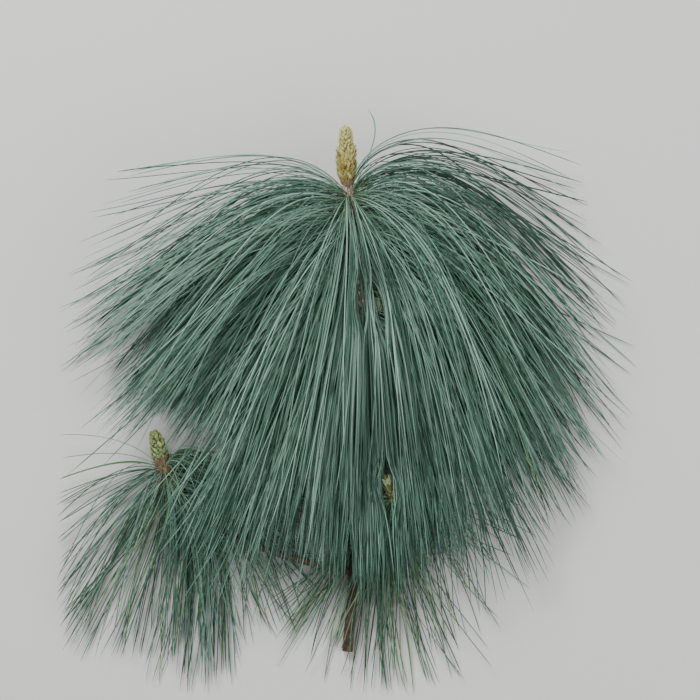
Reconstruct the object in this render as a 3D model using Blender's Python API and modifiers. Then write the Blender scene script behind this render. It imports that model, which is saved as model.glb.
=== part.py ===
# Cut branch of a bhutan pine, lying on its needles.
# Metres, +Z up. X runs across the branch, +Y towards the tip of the leader shoot, and Z is height
# above the surface that the branch lies on. While the pieces are made, X and Y are counted from
# the foot of the leader's candle. The last step moves all of them so that the middle of the
# branch's outline is at the origin.
# The long needles leave the stem all round, arch over and hang back along it. Two side shoots
# with tufts of their own lie under the leader's upper needles.
import math

import bmesh
import bpy
import numpy as np
from mathutils import Matrix, Vector, kdtree

SEED = 11
GAP = 0.0003                # clear space between two touching pieces
GOLDEN_ANGLE = math.pi * (3.0 - math.sqrt(5.0))

# Leader stem, measured down from the foot of its candle
STEM_LENGTH = 0.267
STEM_TIP_RADIUS = 0.0020
STEM_CUT_RADIUS = 0.0030
STEM_BOW = 0.0098           # how far the stem bows towards +X
STEM_BOW_SKEW = 0.8
STEM_TIP_HEIGHT = 0.042     # height of its middle line at the tip
STEM_LIFT_POWER = 1.2
STEM_POINTS = 18
WHORL_SHARE = 0.83          # how far down the stem the two side shoots leave it
WHORL_SWELLING = 0.0008
WHORL_REACH = 0.04          # half length of the swelling, as a share of the stem

# Needles: each solid spray stands for one or two bundles of five, as a flat blade with teeth
NEEDLE_LENGTH = 0.180
SPRAY_THICKNESS = 0.0018
STALK_ROOT_WIDTH = 0.0013
STALK_WIDTH = 0.0026
STALK_SHARE = 0.11          # second ring of the stalk, as a share of the spray's length
FORK_SHARE = 0.28           # where the stalk divides into its teeth
TOOTH_SHARE = 0.60          # ring half way along a tooth
TOOTH_WIDTH = 0.0015
TOOTH_SPREAD = 0.032        # sideways step from tooth to tooth at the tips, as a share of length
TOOTH_LENGTHS = (0.93, 1.0, 0.90)
TOOTH_HALF = 0.42           # half the width and depth of a tooth half way along, as a share
ROOT_DEPTH_SHARE = 0.7      # a stalk's depth at its root, as a share of the blade's
# Free room round a spray's middle lines at its rings, as shares of its thickness
SPRAY_REACH = (0.50, 0.55, 0.62, 0.55, 0.15)
FLATTENING = 0.40           # depth of the lying fountain, as a share of its width
BEND_POWER = 3.0            # most of a needle's bend comes in its first third
HANG_SHARE = 0.5            # past this share a needle follows the hanging direction, not the stem
ROOT_RAMP = 0.10            # share of a needle over which its lying height takes over
SAG = 0.030                 # how far a needle's end sinks under its own weight
NEEDLE_ZONE = 0.078         # the stretch of the leader that bears needles
NEEDLE_ZONE_START = 0.0025
NEEDLE_SPREAD_POWER = 1.35  # above 1, they stand closer together near the tip
SLEEVE_THICKNESS = 0.0021   # of the core that a mass of needles grows from
SLEEVE_LIP = 0.0015         # how far a core reaches above its first needle
ROOT_DEPTH = 0.0012         # how deep in the core a needle starts, from its inner side
ROOT_SPACING = 0.0015       # least distance between the roots of two sprays
LEAN_INSET = math.radians(4.0)  # how far needles lean away from the edges of their sector
SLEEVE_RINGS = 5
SLEEVE_ARC_STEPS = 5
UPPER_TRIES = 1600
UNDER_TRIES = 400
CROWDED_FROM = 0.25         # past this share of their length, sprays of one mass stay apart
LENGTH_TRIES = (1.0, 0.88, 0.76, 0.64)
DROOP_TILT = math.radians(8.4)  # of the direction that the needles hang back from

# Angles from the tip's direction at which needles leave the stem, top of the zone to its bottom
SIDE_LAUNCH = (25.0, 125.0)
FRONT_LAUNCH = (135.0, 170.0)
UNDER_LAUNCH = (100.0, 150.0)
LAUNCH_RANGE = (18.0, 172.0)
SIDE_LAUNCH_POWER = 0.8
LAUNCH_SCATTER = 5.0
FINAL_SCATTER = 3.0
WIDEST_FINAL = 62.0         # how far from straight back the highest arcs end
OPEN_POWER = 1.0            # how that angle falls for needles from further down the stem
MOST_FINAL = 70.0
SHORTEST_ARC = 0.76         # length of the needles launched nearest the tip, as a share
ARC_RANGE = (25.0, 85.0)    # launch angles over which that share grows to the whole
LENGTH_SCATTER = 0.05

# Layers of the lying branch
SHELF_HEIGHT = 0.0235       # the leader's upper needles pass over the side shoots at this height
SHELF_START = 0.105
SHELF_FULL = 0.150
SHELF_RIGHT = (0.095, 0.150)
SHELF_LEFT = (0.170, 0.200)
UNDER_LIMIT = 0.130         # needles under the leader end before this
BED_FALL = 0.62             # how much lower the under needles' top is at the outer edge
BED_REACH = 0.150
OVER_STEM = 0.0012          # how far above the bark the bed's middle passes over the stem
OVER_STEM_REACH = 0.0065
LAYER_MARGIN = 0.0022
LOFT = 0.0070               # how much further out the needles next to the tip lie than the lowest
LAYER_SOFTNESS = 0.005

# Side shoots: pull of the curve at the foot, place of the candle's foot and of its tip
LEFT_PULL = (-0.100, -0.200)
LEFT_END = (-0.1062, -0.1590)
LEFT_CANDLE_TIP = (-0.1119, -0.1389)
RIGHT_PULL = (0.0330, -0.2060)
RIGHT_END = (0.0255, -0.1760)
RIGHT_CANDLE_TIP = (0.0203, -0.1635)
TWIG_HEIGHT = 0.0105
TWIG_RADIUS = 0.0014
TWIG_FOOT_RADIUS = 0.0018
TWIG_POINTS = 14
LEFT_NEEDLE_LENGTH = 0.102
RIGHT_NEEDLE_LENGTH = 0.086
LEFT_TRIES = 240
RIGHT_TRIES = 160
LEFT_MOST = 11
RIGHT_MOST = 9
TUFT_ZONE = 0.034           # the stretch of a side shoot that bears needles
TUFT_START = 0.01           # share of the shoot at which its core starts
TUFT_END = 1.05             # end of the core, as a share of the zone
TUFT_RINGS = 8
TUFT_ARC_STEPS = 6
BEND_ROOM = 0.00015         # extra room round a bent twig, whose straight stretches leave its line
TUFT_SAG = 0.008
PASS_REACH = 0.006          # how near a stem a needle begins to pass over or under it
TUFT_FLATTENING = 0.24
TUFT_THICKNESS = 0.0015
TUFT_SIDE_LAUNCH = (50.0, 140.0)
TUFT_FRONT_LAUNCH = (120.0, 172.0)

# Small bud shoot beside the leader
BUD_FOOT_SHARE = 0.342
BUD_END = (0.0185, -0.0730)
BUD_TIP = (0.0163, -0.0590)
BUD_RADIUS = 0.0020
BUD_TWIG_RADIUS = 0.0009
BUD_POINTS = 6
BUD_BOW = (0.001, -0.001, 0.0)

# Half outlines of the candles: distance from the foot and radius, as shares of length and width
LEADER_CANDLE_WIDTH = 0.0062
LEADER_CANDLE_TIP = (-0.0011, 0.0366)
LEADER_OUTLINE = ((0.0, 0.33), (0.08, 0.48), (0.20, 0.80), (0.32, 0.96), (0.40, 1.0), (0.55, 0.95),
                  (0.63, 0.88), (0.645, 0.70), (0.80, 0.64), (0.93, 0.50), (1.0, 0.0))
SHOOT_OUTLINE = ((0.0, 0.40), (0.12, 0.62), (0.30, 0.95), (0.45, 1.0), (0.68, 0.80), (0.88, 0.45),
                 (1.0, 0.0))
LEFT_CANDLE_WIDTH = 0.0050
RIGHT_CANDLE_WIDTH = 0.0031
CANDLE_SIDES = 12
LEADER_SCALES = 34
LEFT_SCALES = 24
RIGHT_SCALES = 14
BUD_SCALES = 8
CANDLE_GAP = 0.0005         # from a side shoot's end to its candle, which may lean a little
CANDLE_RISE = 0.001         # how much higher than its shoot a side candle's tip lies
CANDLE_ROOM = 0.12          # free room round a candle's outline, as a share of its width
SCALES_START = 0.12         # the stretch of a candle that bears scales
SCALES_SPAN = 0.74
# A scale's height as a share of the candle's length, and its other sizes as shares of the width
SCALE_RISE = 0.17
SCALE_HALF_WIDTH = 0.17
SCALE_ROOT = 0.30
SCALE_STAND = 0.06
SCALE_LEAN = 0.16
SCALE_TIP_DRAW = 0.86       # how far a scale's point is drawn in towards the candle's middle
SCALE_TURN = 2.4            # radians from one scale to the next round the candle

PATH_STEPS = 96
LIMB_SAMPLES = 120          # points that reserve a limb's space
SLEEVE_SAMPLES = 60
SLEEVE_TURNS = 10
CANDLE_SAMPLES = 20
LINE_STEP = 0.005           # share over which a line's direction is taken
SPRAY_STEP = 0.002          # distance between points that test a spray's space
COLOURS = {
    "bark": ((0.115, 0.072, 0.052, 1.0), 0.78),
    "needles": ((0.105, 0.185, 0.140, 1.0), 0.50),
    "candle": ((0.520, 0.410, 0.170, 1.0), 0.60),
    "young_candle": ((0.330, 0.370, 0.130, 1.0), 0.60),
}


def ramp(value, low, high):
    share = np.clip((value - low) / (high - low), 0.0, 1.0)
    return share * share * (3.0 - 2.0 * share)


def soft_max(a, b, width):
    return 0.5 * (a + b + np.sqrt((a - b) ** 2 + width * width))


def soft_min(a, b, width):
    return -soft_max(-a, -b, width)


def clear_scene():
    for thing in list(bpy.data.objects):
        bpy.data.objects.remove(thing, do_unlink=True)


def new_collection(name):
    collection = bpy.data.collections.new(name)
    bpy.context.scene.collection.children.link(collection)
    return collection


def material(name):
    found = bpy.data.materials.get(name)
    if found:
        return found
    colour, roughness = COLOURS[name]
    made = bpy.data.materials.new(name)
    made.use_nodes = True
    shader = made.node_tree.nodes["Principled BSDF"]
    shader.inputs["Base Color"].default_value = colour
    shader.inputs["Roughness"].default_value = roughness
    shader.inputs["Metallic"].default_value = 0.0
    return made


def mesh_object(name, points, faces, collection):
    mesh = bpy.data.meshes.new(name)
    mesh.from_pydata([tuple(p) for p in points], [], faces)
    mesh.update()
    made = bpy.data.objects.new(name, mesh)
    collection.objects.link(made)
    return made


def closed_object(name, points, faces, collection):
    # a closed shape of flat triangles that all face out
    made = mesh_object(name, points, faces, collection)
    shape = bmesh.new()
    shape.from_mesh(made.data)
    bmesh.ops.triangulate(shape, faces=shape.faces)
    bmesh.ops.recalc_face_normals(shape, faces=shape.faces)
    shape.to_mesh(made.data)
    shape.free()
    return made


# Middle lines of the stem and the shoots

def stem_line(share):
    # the stem's middle line: share 0 at the foot of the candle, 1 at the cut
    share = np.asarray(share, dtype=float)
    bow = STEM_BOW * np.sin(np.pi * share ** STEM_BOW_SKEW)
    height = STEM_CUT_RADIUS + (STEM_TIP_HEIGHT - STEM_CUT_RADIUS) * (1.0 - share) ** STEM_LIFT_POWER
    return np.stack([bow, -STEM_LENGTH * share, height], axis=-1)


def stem_radius(share):
    share = np.asarray(share, dtype=float)
    taper = STEM_TIP_RADIUS + (STEM_CUT_RADIUS - STEM_TIP_RADIUS) * share
    return taper + WHORL_SWELLING * np.exp(-((share - WHORL_SHARE) / WHORL_REACH) ** 2)


def beside_stem(y):
    # the stem's middle and radius level with these places
    share = np.clip(-y / STEM_LENGTH, 0.0, 1.0)
    return stem_line(share), stem_radius(share)


def bent_line(tip, pull, foot):
    # one smooth bend from the tip, share 0, to the foot, share 1, drawn towards the pull
    tip, pull, foot = (np.asarray(p, dtype=float) for p in (tip, pull, foot))

    def line(share):
        share = np.asarray(share, dtype=float)[..., None]
        return tip * (1 - share) ** 2 + pull * 2 * share * (1 - share) + foot * share ** 2

    return line


def twig_radius(share):
    return TWIG_RADIUS + (TWIG_FOOT_RADIUS - TWIG_RADIUS) * share


def tapered_limb(name, points, radii, roundness, collection):
    curve = bpy.data.curves.new(name, "CURVE")
    curve.dimensions = "3D"
    curve.use_fill_caps = True
    curve.bevel_resolution = roundness
    curve.bevel_depth = max(radii)
    spline = curve.splines.new("POLY")
    spline.points.add(len(points) - 1)
    for knot, place, radius in zip(spline.points, points, radii):
        knot.co = (*place, 1.0)
        knot.radius = radius / curve.bevel_depth
    limb = bpy.data.objects.new(name, curve)
    collection.objects.link(limb)
    limb.data.materials.append(material("bark"))
    return limb


# Needles

def lying_height(path, share, under, loft):
    # A needle's height once the branch lies down. Its end sags. The upper needles rest on the bed
    # of those under the leader, and further down on the side shoots; the others stay under it.
    # Each lies as far out as its loft says.
    x, y, z = path[..., 0], path[..., 1], path[..., 2]
    spread = ramp(np.abs(x - STEM_BOW * 0.5), 0.0, BED_REACH)
    stem, radius = beside_stem(y)
    bed = stem[..., 2] * (1.0 - BED_FALL * spread)
    ridge = (radius + OVER_STEM) * np.exp(-((x - stem[..., 0]) / OVER_STEM_REACH) ** 2)
    shelf = SHELF_HEIGHT * ramp(-y, SHELF_START, SHELF_FULL)
    shelf = shelf * (1.0 - ramp(x, *SHELF_RIGHT)) * (1.0 - ramp(-x, *SHELF_LEFT))
    sunk = z - SAG * share ** 2
    floor = 0.5 * SPRAY_THICKNESS
    margin = LAYER_MARGIN + loft
    upper = soft_max(sunk, np.maximum(bed + ridge, shelf) + margin, LAYER_SOFTNESS)
    lower = soft_min(sunk, bed - ridge - margin, LAYER_SOFTNESS)
    lower = soft_max(lower, floor, LAYER_SOFTNESS)
    shaped = np.where(under, lower, upper)
    return z + (shaped - z) * ramp(share, 0.0, ROOT_RAMP)


def tuft_height(path, share, limbs, rising):
    # The side shoots' needles keep under the leader's and above the floor. Those of the upper half
    # pass over the stems near them, and those of the lower half pass under.
    x, y, z = path[..., 0], path[..., 1], path[..., 2]
    shaped = z - TUFT_SAG * share ** 2
    for line, radius in limbs:
        places = line(np.linspace(0.0, 1.0, SLEEVE_SAMPLES))
        away = np.hypot(x[..., None] - places[:, 0], y[..., None] - places[:, 1])
        nearest = away.argmin(axis=-1)
        nearness = np.exp(-(away.min(axis=-1) / PASS_REACH) ** 2)
        middle = places[nearest, 2]
        clear = radius + TUFT_THICKNESS + GAP
        over = soft_max(shaped, middle + clear, 0.5 * LAYER_SOFTNESS)
        beneath = soft_min(shaped, middle - clear, 0.5 * LAYER_SOFTNESS)
        shaped = shaped + (np.where(rising, over, beneath) - shaped) * nearness
    shaped = soft_min(shaped, SHELF_HEIGHT - LAYER_MARGIN, 0.5 * LAYER_SOFTNESS)
    shaped = soft_max(shaped, 0.5 * TUFT_THICKNESS, 0.5 * LAYER_SOFTNESS)
    return z + (shaped - z) * ramp(share, 0.0, ROOT_RAMP)


def fountain(seed, length, azimuths, launches, flattening, line, shares, root_azimuths, radii):
    # Paths of needles. Each starts on the stem at its own azimuth, leaves it at its launch angle
    # from the tip's direction, and turns back along the stem, fastest at first.
    count = len(azimuths)
    dice = np.random.default_rng(seed)
    rank = (np.arange(count) + 0.5) / count
    sideways_share = np.abs(np.cos(azimuths))
    side, front = launches
    side_angle = side[0] + (side[1] - side[0]) * rank ** SIDE_LAUNCH_POWER
    front_angle = front[0] + (front[1] - front[0]) * rank
    launch = side_angle + (front_angle - side_angle) * (1.0 - sideways_share)
    launch = np.clip(launch + dice.normal(0.0, LAUNCH_SCATTER, count), *LAUNCH_RANGE)
    open_angle = WIDEST_FINAL * ((180.0 - launch) / (180.0 - SIDE_LAUNCH[0])) ** OPEN_POWER
    final = 180.0 - np.clip(open_angle + dice.normal(0.0, FINAL_SCATTER, count), 0.0, MOST_FINAL)
    lengths = length * (SHORTEST_ARC + (1.0 - SHORTEST_ARC) * ramp(launch, *ARC_RANGE))
    lengths = lengths * (1.0 + dice.normal(0.0, LENGTH_SCATTER, count))

    places, sideways, up = square_frame(line, shares)
    roots = places + radii[:, None] * spokes(sideways, up, root_azimuths, 1.0)
    outward = spokes(sideways, up, azimuths, flattening)[:, None, :]
    ahead = np.cross(up, sideways)[:, None, :]
    share = np.linspace(0.0, 1.0, PATH_STEPS)
    hanging = ramp(share, 0.0, HANG_SHARE)[None, :, None]
    axis = ahead + (np.array([0.0, math.cos(DROOP_TILT), math.sin(DROOP_TILT)]) - ahead) * hanging
    angle = np.radians(final[:, None] - (final - launch)[:, None] * (1.0 - share) ** BEND_POWER)
    heading = np.sin(angle)[..., None] * outward + np.cos(angle)[..., None] * axis
    heading /= np.linalg.norm(heading, axis=-1, keepdims=True)
    stride = (lengths / (PATH_STEPS - 1))[:, None, None]
    travelled = np.cumsum(0.5 * (heading[:, 1:] + heading[:, :-1]) * stride, axis=1)
    path = np.concatenate([np.zeros((count, 1, 3)), travelled], axis=1)
    return path + roots[:, None, :], share


def square_frame(line, share):
    # places on a middle line counted from its tip, with the level direction square to it and the
    # one square to both
    share = np.asarray(share, dtype=float)
    heading = line(np.maximum(share - LINE_STEP, 0.0)) - line(np.minimum(share + LINE_STEP, 1.0))
    heading /= np.linalg.norm(heading, axis=-1, keepdims=True)
    sideways = np.stack([heading[..., 1], -heading[..., 0], 0.0 * heading[..., 0]], axis=-1)
    sideways /= np.linalg.norm(sideways, axis=-1, keepdims=True)
    return line(share), sideways, np.cross(sideways, heading)


def spokes(sideways, up, azimuths, flattening):
    # directions out from a line at these azimuths, from level towards up
    return (sideways * np.cos(azimuths)[:, None]
            + up * (flattening * np.sin(azimuths))[:, None])


def spray_rings(path, thick):
    # the blade's rings as middle, level direction, direction square to the blade, and its teeth
    last = len(path) - 1
    length = np.linalg.norm(np.diff(path, axis=0), axis=1).sum()

    def frame(share):
        index = int(round(share * last))
        heading = Vector(path[min(index + 2, last)] - path[max(index - 2, 0)]).normalized()
        level = heading.cross(Vector((0.0, 0.0, 1.0))).normalized()
        return Vector(path[index]), level, level.cross(heading).normalized()

    stalk = [(*frame(0.0), STALK_ROOT_WIDTH, ROOT_DEPTH_SHARE * thick),
             (*frame(STALK_SHARE), STALK_WIDTH, thick)]
    fork = (*frame(FORK_SHARE), 3.0 * TOOTH_WIDTH, thick)
    teeth = []
    for side, reach in zip((-1, 0, 1), TOOTH_LENGTHS):
        rows = []
        for share in (TOOTH_SHARE, reach):
            middle, level, up = frame(share)
            opened = (share - FORK_SHARE) / (1.0 - FORK_SHARE)
            step = TOOTH_WIDTH + (TOOTH_SPREAD * length - TOOTH_WIDTH) * opened
            rows.append((middle + level * side * step, level, up))
        teeth.append(rows)
    return stalk, fork, teeth


def spray_lines(rings, thick):
    # points along a spray with the radius that each must keep free
    stalk, fork, teeth = rings
    places, radii = [], []
    for side, (half_way, end) in zip((-1, 0, 1), teeth):
        knots = [row[0] + row[1] * side * row[3] / 3.0 for row in (*stalk, fork)]
        knots += [half_way[0], end[0]]
        for start, stop, low, high in zip(knots[:-1], knots[1:], SPRAY_REACH[:-1], SPRAY_REACH[1:]):
            steps = max(int((stop - start).length / SPRAY_STEP), 2)
            for step in range(steps):
                share = step / steps
                places.append(start.lerp(stop, share))
                radii.append((low + (high - low) * share) * thick)
        places.append(knots[-1])
        radii.append(SPRAY_REACH[-1] * thick)
    return np.array(places), np.array(radii)


def spray(name, rings, thick, collection):
    # a flat blade whose stalk divides into three pointed teeth
    stalk, fork, teeth = rings
    points = []
    for middle, level, up, width, depth in stalk:
        for across, over in ((-1, 1), (1, 1), (1, -1), (-1, -1)):
            points.append(middle + level * across * 0.5 * width + up * over * 0.5 * depth)
    faces = [(0, 1, 2, 3), (0, 4, 5, 1), (1, 5, 6, 2), (2, 6, 7, 3), (3, 7, 4, 0)]
    middle, level, up, width, depth = fork
    for over in (1, -1):
        for across in (-0.5, -1.0 / 6.0, 1.0 / 6.0, 0.5):
            points.append(middle + level * across * width + up * over * 0.5 * depth)
    # upper points of the fork are 8 to 11 and lower ones 12 to 15
    faces += [(4, 8, 9), (4, 9, 10, 5), (5, 10, 11), (7, 13, 12), (7, 6, 14, 13), (6, 15, 14),
              (5, 11, 15, 6), (7, 12, 8, 4)]
    for number, (half_way, end) in enumerate(teeth):
        middle, level, up = half_way
        first = len(points)
        for across, over in ((-1, 1), (1, 1), (1, -1), (-1, -1)):
            points.append(middle + level * across * TOOTH_HALF * TOOTH_WIDTH
                          + up * over * TOOTH_HALF * thick)
        points.append(end[0])
        base = (8 + number, 9 + number, 13 + number, 12 + number)
        for corner in range(4):
            beside = (corner + 1) % 4
            faces.append((base[corner], first + corner, first + beside, base[beside]))
            faces.append((first + corner, first + 4, first + beside))
    return closed_object(name, points, faces, collection)


def sleeve(name, line, shares, inner, sector, arc_steps, collection):
    # a stretch of a thick sleeve round a stem, between two azimuths
    start, end = math.radians(sector[0]), math.radians(sector[1])
    points = []
    for place, sideways, up, radius in zip(*square_frame(line, shares), inner):
        for reach, order in ((radius, 1), (radius + SLEEVE_THICKNESS, -1)):
            trim = math.asin(0.5 * GAP / reach)
            for turn in np.linspace(start + trim, end - trim, arc_steps + 1)[::order]:
                points.append(place + reach * (sideways * math.cos(turn) + up * math.sin(turn)))
    loop = 2 * (arc_steps + 1)
    faces = [tuple(range(loop))[::-1]]
    for ring in range(len(shares) - 1):
        for corner in range(loop):
            here, beside = ring * loop + corner, ring * loop + (corner + 1) % loop
            faces.append((here, beside, beside + loop, here + loop))
    faces.append(tuple(range((len(shares) - 1) * loop, len(shares) * loop)))
    return closed_object(name, points, faces, collection)


def fuse(core, sprays):
    # joins a core with everything in a collection, and removes the collection's objects
    union = core.modifiers.new("join", "BOOLEAN")
    union.operation = "UNION"
    union.operand_type = "COLLECTION"
    union.collection = sprays
    union.solver = "MANIFOLD"
    graph = bpy.context.evaluated_depsgraph_get()
    joined = bpy.data.meshes.new_from_object(core.evaluated_get(graph))
    core.modifiers.clear()
    core.data = joined
    for piece in list(sprays.objects):
        bpy.data.objects.remove(piece, do_unlink=True)
    keep_largest(joined)


def keep_largest(mesh):
    # drops loose scraps and the walls of hollows that joining has sealed
    shape = bmesh.new()
    shape.from_mesh(mesh)
    unseen = set(shape.faces)
    bodies = []
    while unseen:
        front = [unseen.pop()]
        body = list(front)
        while front:
            face = front.pop()
            for edge in face.edges:
                for other in edge.link_faces:
                    if other in unseen:
                        unseen.remove(other)
                        front.append(other)
                        body.append(other)
        bodies.append(body)
    bodies.sort(key=len)
    for body in bodies[:-1]:
        bmesh.ops.delete(shape, geom=body, context="FACES")
    loose = [v for v in shape.verts if not v.link_faces]
    bmesh.ops.delete(shape, geom=loose, context="VERTS")
    shape.to_mesh(mesh)
    shape.free()


class Space:
    # the places already taken, as points with a radius, so that pieces keep clear of each other
    def __init__(self):
        self.trees = {}

    def take(self, owner, places, radius):
        self.trees.setdefault(owner, []).append((places, radius))

    def settle(self):
        self.found = {}
        for owner, rows in self.trees.items():
            total = sum(len(places) for places, _ in rows)
            tree = kdtree.KDTree(total)
            radii = []
            for places, radius in rows:
                for place, reach in zip(places, radius):
                    tree.insert(place, len(radii))
                    radii.append(reach)
            tree.balance()
            self.found[owner] = (tree, radii, max(radii))

    def is_clear(self, owner, places, radii):
        # whether points with their radii lie clear of every other piece
        for other, (tree, taken, widest) in self.found.items():
            if other == owner:
                continue
            for place, radius in zip(places, radii):
                for _, number, distance in tree.find_range(place, radius + widest + GAP):
                    if distance < radius + taken[number] + GAP:
                        return False
        return True


# Candles

def candle(name, foot, tip, width, outline, scale_count, colour, collection, cutters):
    # a turned spindle set with upright pointed scales
    foot, tip = Vector(foot), Vector(tip)
    length = (tip - foot).length
    profile = [(0.0, 0.0)] + [(share, radius) for share, radius in outline]
    points = [(radius * width, 0.0, share * length) for share, radius in reversed(profile)]
    edges = [(i, i + 1) for i in range(len(points) - 1)]
    mesh = bpy.data.meshes.new(name)
    mesh.from_pydata(points, edges, [])
    body = bpy.data.objects.new(name, mesh)
    collection.objects.link(body)
    turn = body.modifiers.new("turn", "SCREW")
    turn.axis = "Z"
    turn.steps = CANDLE_SIDES
    turn.render_steps = CANDLE_SIDES
    turn.use_merge_vertices = True
    turn.merge_threshold = 0.00001
    graph = bpy.context.evaluated_depsgraph_get()
    body.data = bpy.data.meshes.new_from_object(body.evaluated_get(graph))
    body.modifiers.clear()
    shares = [row[0] for row in outline]
    radii = [row[1] * width for row in outline]
    for number in range(scale_count):
        share = SCALES_START + SCALES_SPAN * number / scale_count
        around = number * SCALE_TURN
        seat = float(np.interp(share, shares, radii))
        candle_scale(number, share * length, seat, around, length, width, cutters)
    fuse(body, cutters)
    body.data.materials.clear()
    body.data.materials.append(material(colour))
    body.data.shade_smooth()
    body.data.set_sharp_from_angle(angle=math.radians(30.0))
    heading = (tip - foot).normalized()
    body.matrix_world = Matrix.Translation(foot) @ heading.to_track_quat("Z", "Y").to_matrix().to_4x4()
    return body


def candle_scale(number, height, seat, around, length, width, collection):
    # one upright scale: a four-sided spike whose root is sunk in the candle
    rise, half = SCALE_RISE * length, SCALE_HALF_WIDTH * width
    out = Vector((math.cos(around), math.sin(around), 0.0))
    beside = Vector((-math.sin(around), math.cos(around), 0.0))
    root = out * (seat - SCALE_ROOT * width)
    middle = out * (seat + SCALE_STAND * width)
    point = out * (seat * SCALE_TIP_DRAW + SCALE_LEAN * width)
    lift = Vector((0.0, 0.0, 1.0))
    points = [root - beside * half + lift * height, root + beside * half + lift * height,
              middle + beside * half * 0.7 + lift * (height + rise * 0.15),
              middle - beside * half * 0.7 + lift * (height + rise * 0.15),
              point + lift * (height + rise)]
    faces = [(3, 2, 1, 0), (0, 1, 4), (1, 2, 4), (2, 3, 4), (3, 0, 4)]
    closed_object(f"scale_{number}", points, faces, collection)


def reserve_candle(space, owner, foot, tip, width, outline):
    foot, tip = np.asarray(foot), np.asarray(tip)
    shares = np.linspace(0.0, 1.0, CANDLE_SAMPLES)
    radii = np.interp(shares, [row[0] for row in outline], [row[1] for row in outline])
    places = foot + (tip - foot) * shares[:, None]
    space.take(owner, places, (radii + CANDLE_ROOM) * width)


# Masses of needles

# Name, azimuths in degrees, stretch of the needle zone, whether under the stem, most sprays
MASSES = (
    ("needles_right_arch", (0.0, 90.0), (0.0, 0.30), False, 11),
    ("needles_left_arch", (90.0, 180.0), (0.0, 0.30), False, 11),
    ("needles_right_fall", (0.0, 90.0), (0.30, 0.62), False, 14),
    ("needles_left_fall", (90.0, 180.0), (0.30, 0.62), False, 14),
    ("needles_right_curtain", (0.0, 90.0), (0.62, 1.0), False, 12),
    ("needles_left_curtain", (90.0, 180.0), (0.62, 1.0), False, 12),
    ("needles_under_left", (180.0, 270.0), (0.0, 1.0), True, 13),
    ("needles_under_right", (270.0, 360.0), (0.0, 1.0), True, 13),
)


def squeezed(azimuths, sector, inset):
    # draws azimuths in from the edges of their sector
    low, high = math.radians(sector[0]), math.radians(sector[1])
    return low + inset + (azimuths - low) * (high - low - 2.0 * inset) / (high - low)


def root_inset(radius):
    # the angle that keeps a spray's root clear of the next sector
    return math.asin((0.5 * STALK_ROOT_WIDTH + GAP) / radius)


def zone_place(rank):
    # how far below the candle a needle of this rank stands
    return NEEDLE_ZONE_START + (NEEDLE_ZONE - NEEDLE_ZONE_START) * rank ** NEEDLE_SPREAD_POWER


def leader_needles():
    # every mass's paths, with roots on the stem, before any is dropped
    rows = {}
    inset = root_inset(STEM_TIP_RADIUS + GAP + ROOT_DEPTH)
    for count, seed, half, launches in ((UPPER_TRIES, SEED, 0.0, (SIDE_LAUNCH, FRONT_LAUNCH)),
                                        (UNDER_TRIES, SEED + 1, math.pi, (SIDE_LAUNCH, UNDER_LAUNCH))):
        numbers = np.arange(count)
        azimuths = half + (numbers * GOLDEN_ANGLE) % math.pi
        rank = (numbers + 0.5) / count
        root_azimuths, lean_azimuths = azimuths.copy(), azimuths.copy()
        owner = np.full(count, -1)
        for index, (name, sector, stretch, under, most) in enumerate(MASSES):
            if under != (half > 0.0):
                continue
            inside = (azimuths >= math.radians(sector[0])) & (azimuths < math.radians(sector[1]))
            inside &= (rank >= stretch[0]) & (rank < stretch[1])
            owner[inside] = index
            root_azimuths[inside] = squeezed(azimuths[inside], sector, inset)
            lean_azimuths[inside] = squeezed(azimuths[inside], sector, LEAN_INSET)
        share = zone_place(rank) / STEM_LENGTH
        radii = stem_radius(share) + GAP + ROOT_DEPTH
        path, shares = fountain(seed, NEEDLE_LENGTH, lean_azimuths, launches, FLATTENING, stem_line,
                                share, root_azimuths, radii)
        loft = LOFT * (1.0 - rank)[:, None]
        path[..., 2] = lying_height(path, shares, half > 0.0, loft)
        for index in range(len(MASSES)):
            if (owner == index).any():
                rows[index] = path[owner == index]
    return rows


def tuft_needles(line, zone_share, count, seed, length, sign, limbs):
    # one half of a side shoot's tuft: sign is -1 for its -X half
    numbers = np.arange(count)
    rank = (numbers + 0.5) / count
    azimuths = (numbers * GOLDEN_ANGLE) % math.pi - math.pi / 2.0
    half_turn = (-90.0, 90.0)
    root_radius = TWIG_RADIUS + GAP + ROOT_DEPTH
    root_azimuths = squeezed(azimuths, half_turn, root_inset(root_radius))
    lean_azimuths = squeezed(azimuths, half_turn, LEAN_INSET)
    if sign < 0:
        root_azimuths, lean_azimuths = math.pi - root_azimuths, math.pi - lean_azimuths
    path, shares = fountain(seed, length, lean_azimuths, (TUFT_SIDE_LAUNCH, TUFT_FRONT_LAUNCH),
                            TUFT_FLATTENING, line, zone_share * rank, root_azimuths,
                            np.full(count, root_radius))
    path[..., 2] = tuft_height(path, shares, limbs, np.sin(azimuths)[:, None] > 0.0)
    return path


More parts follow.
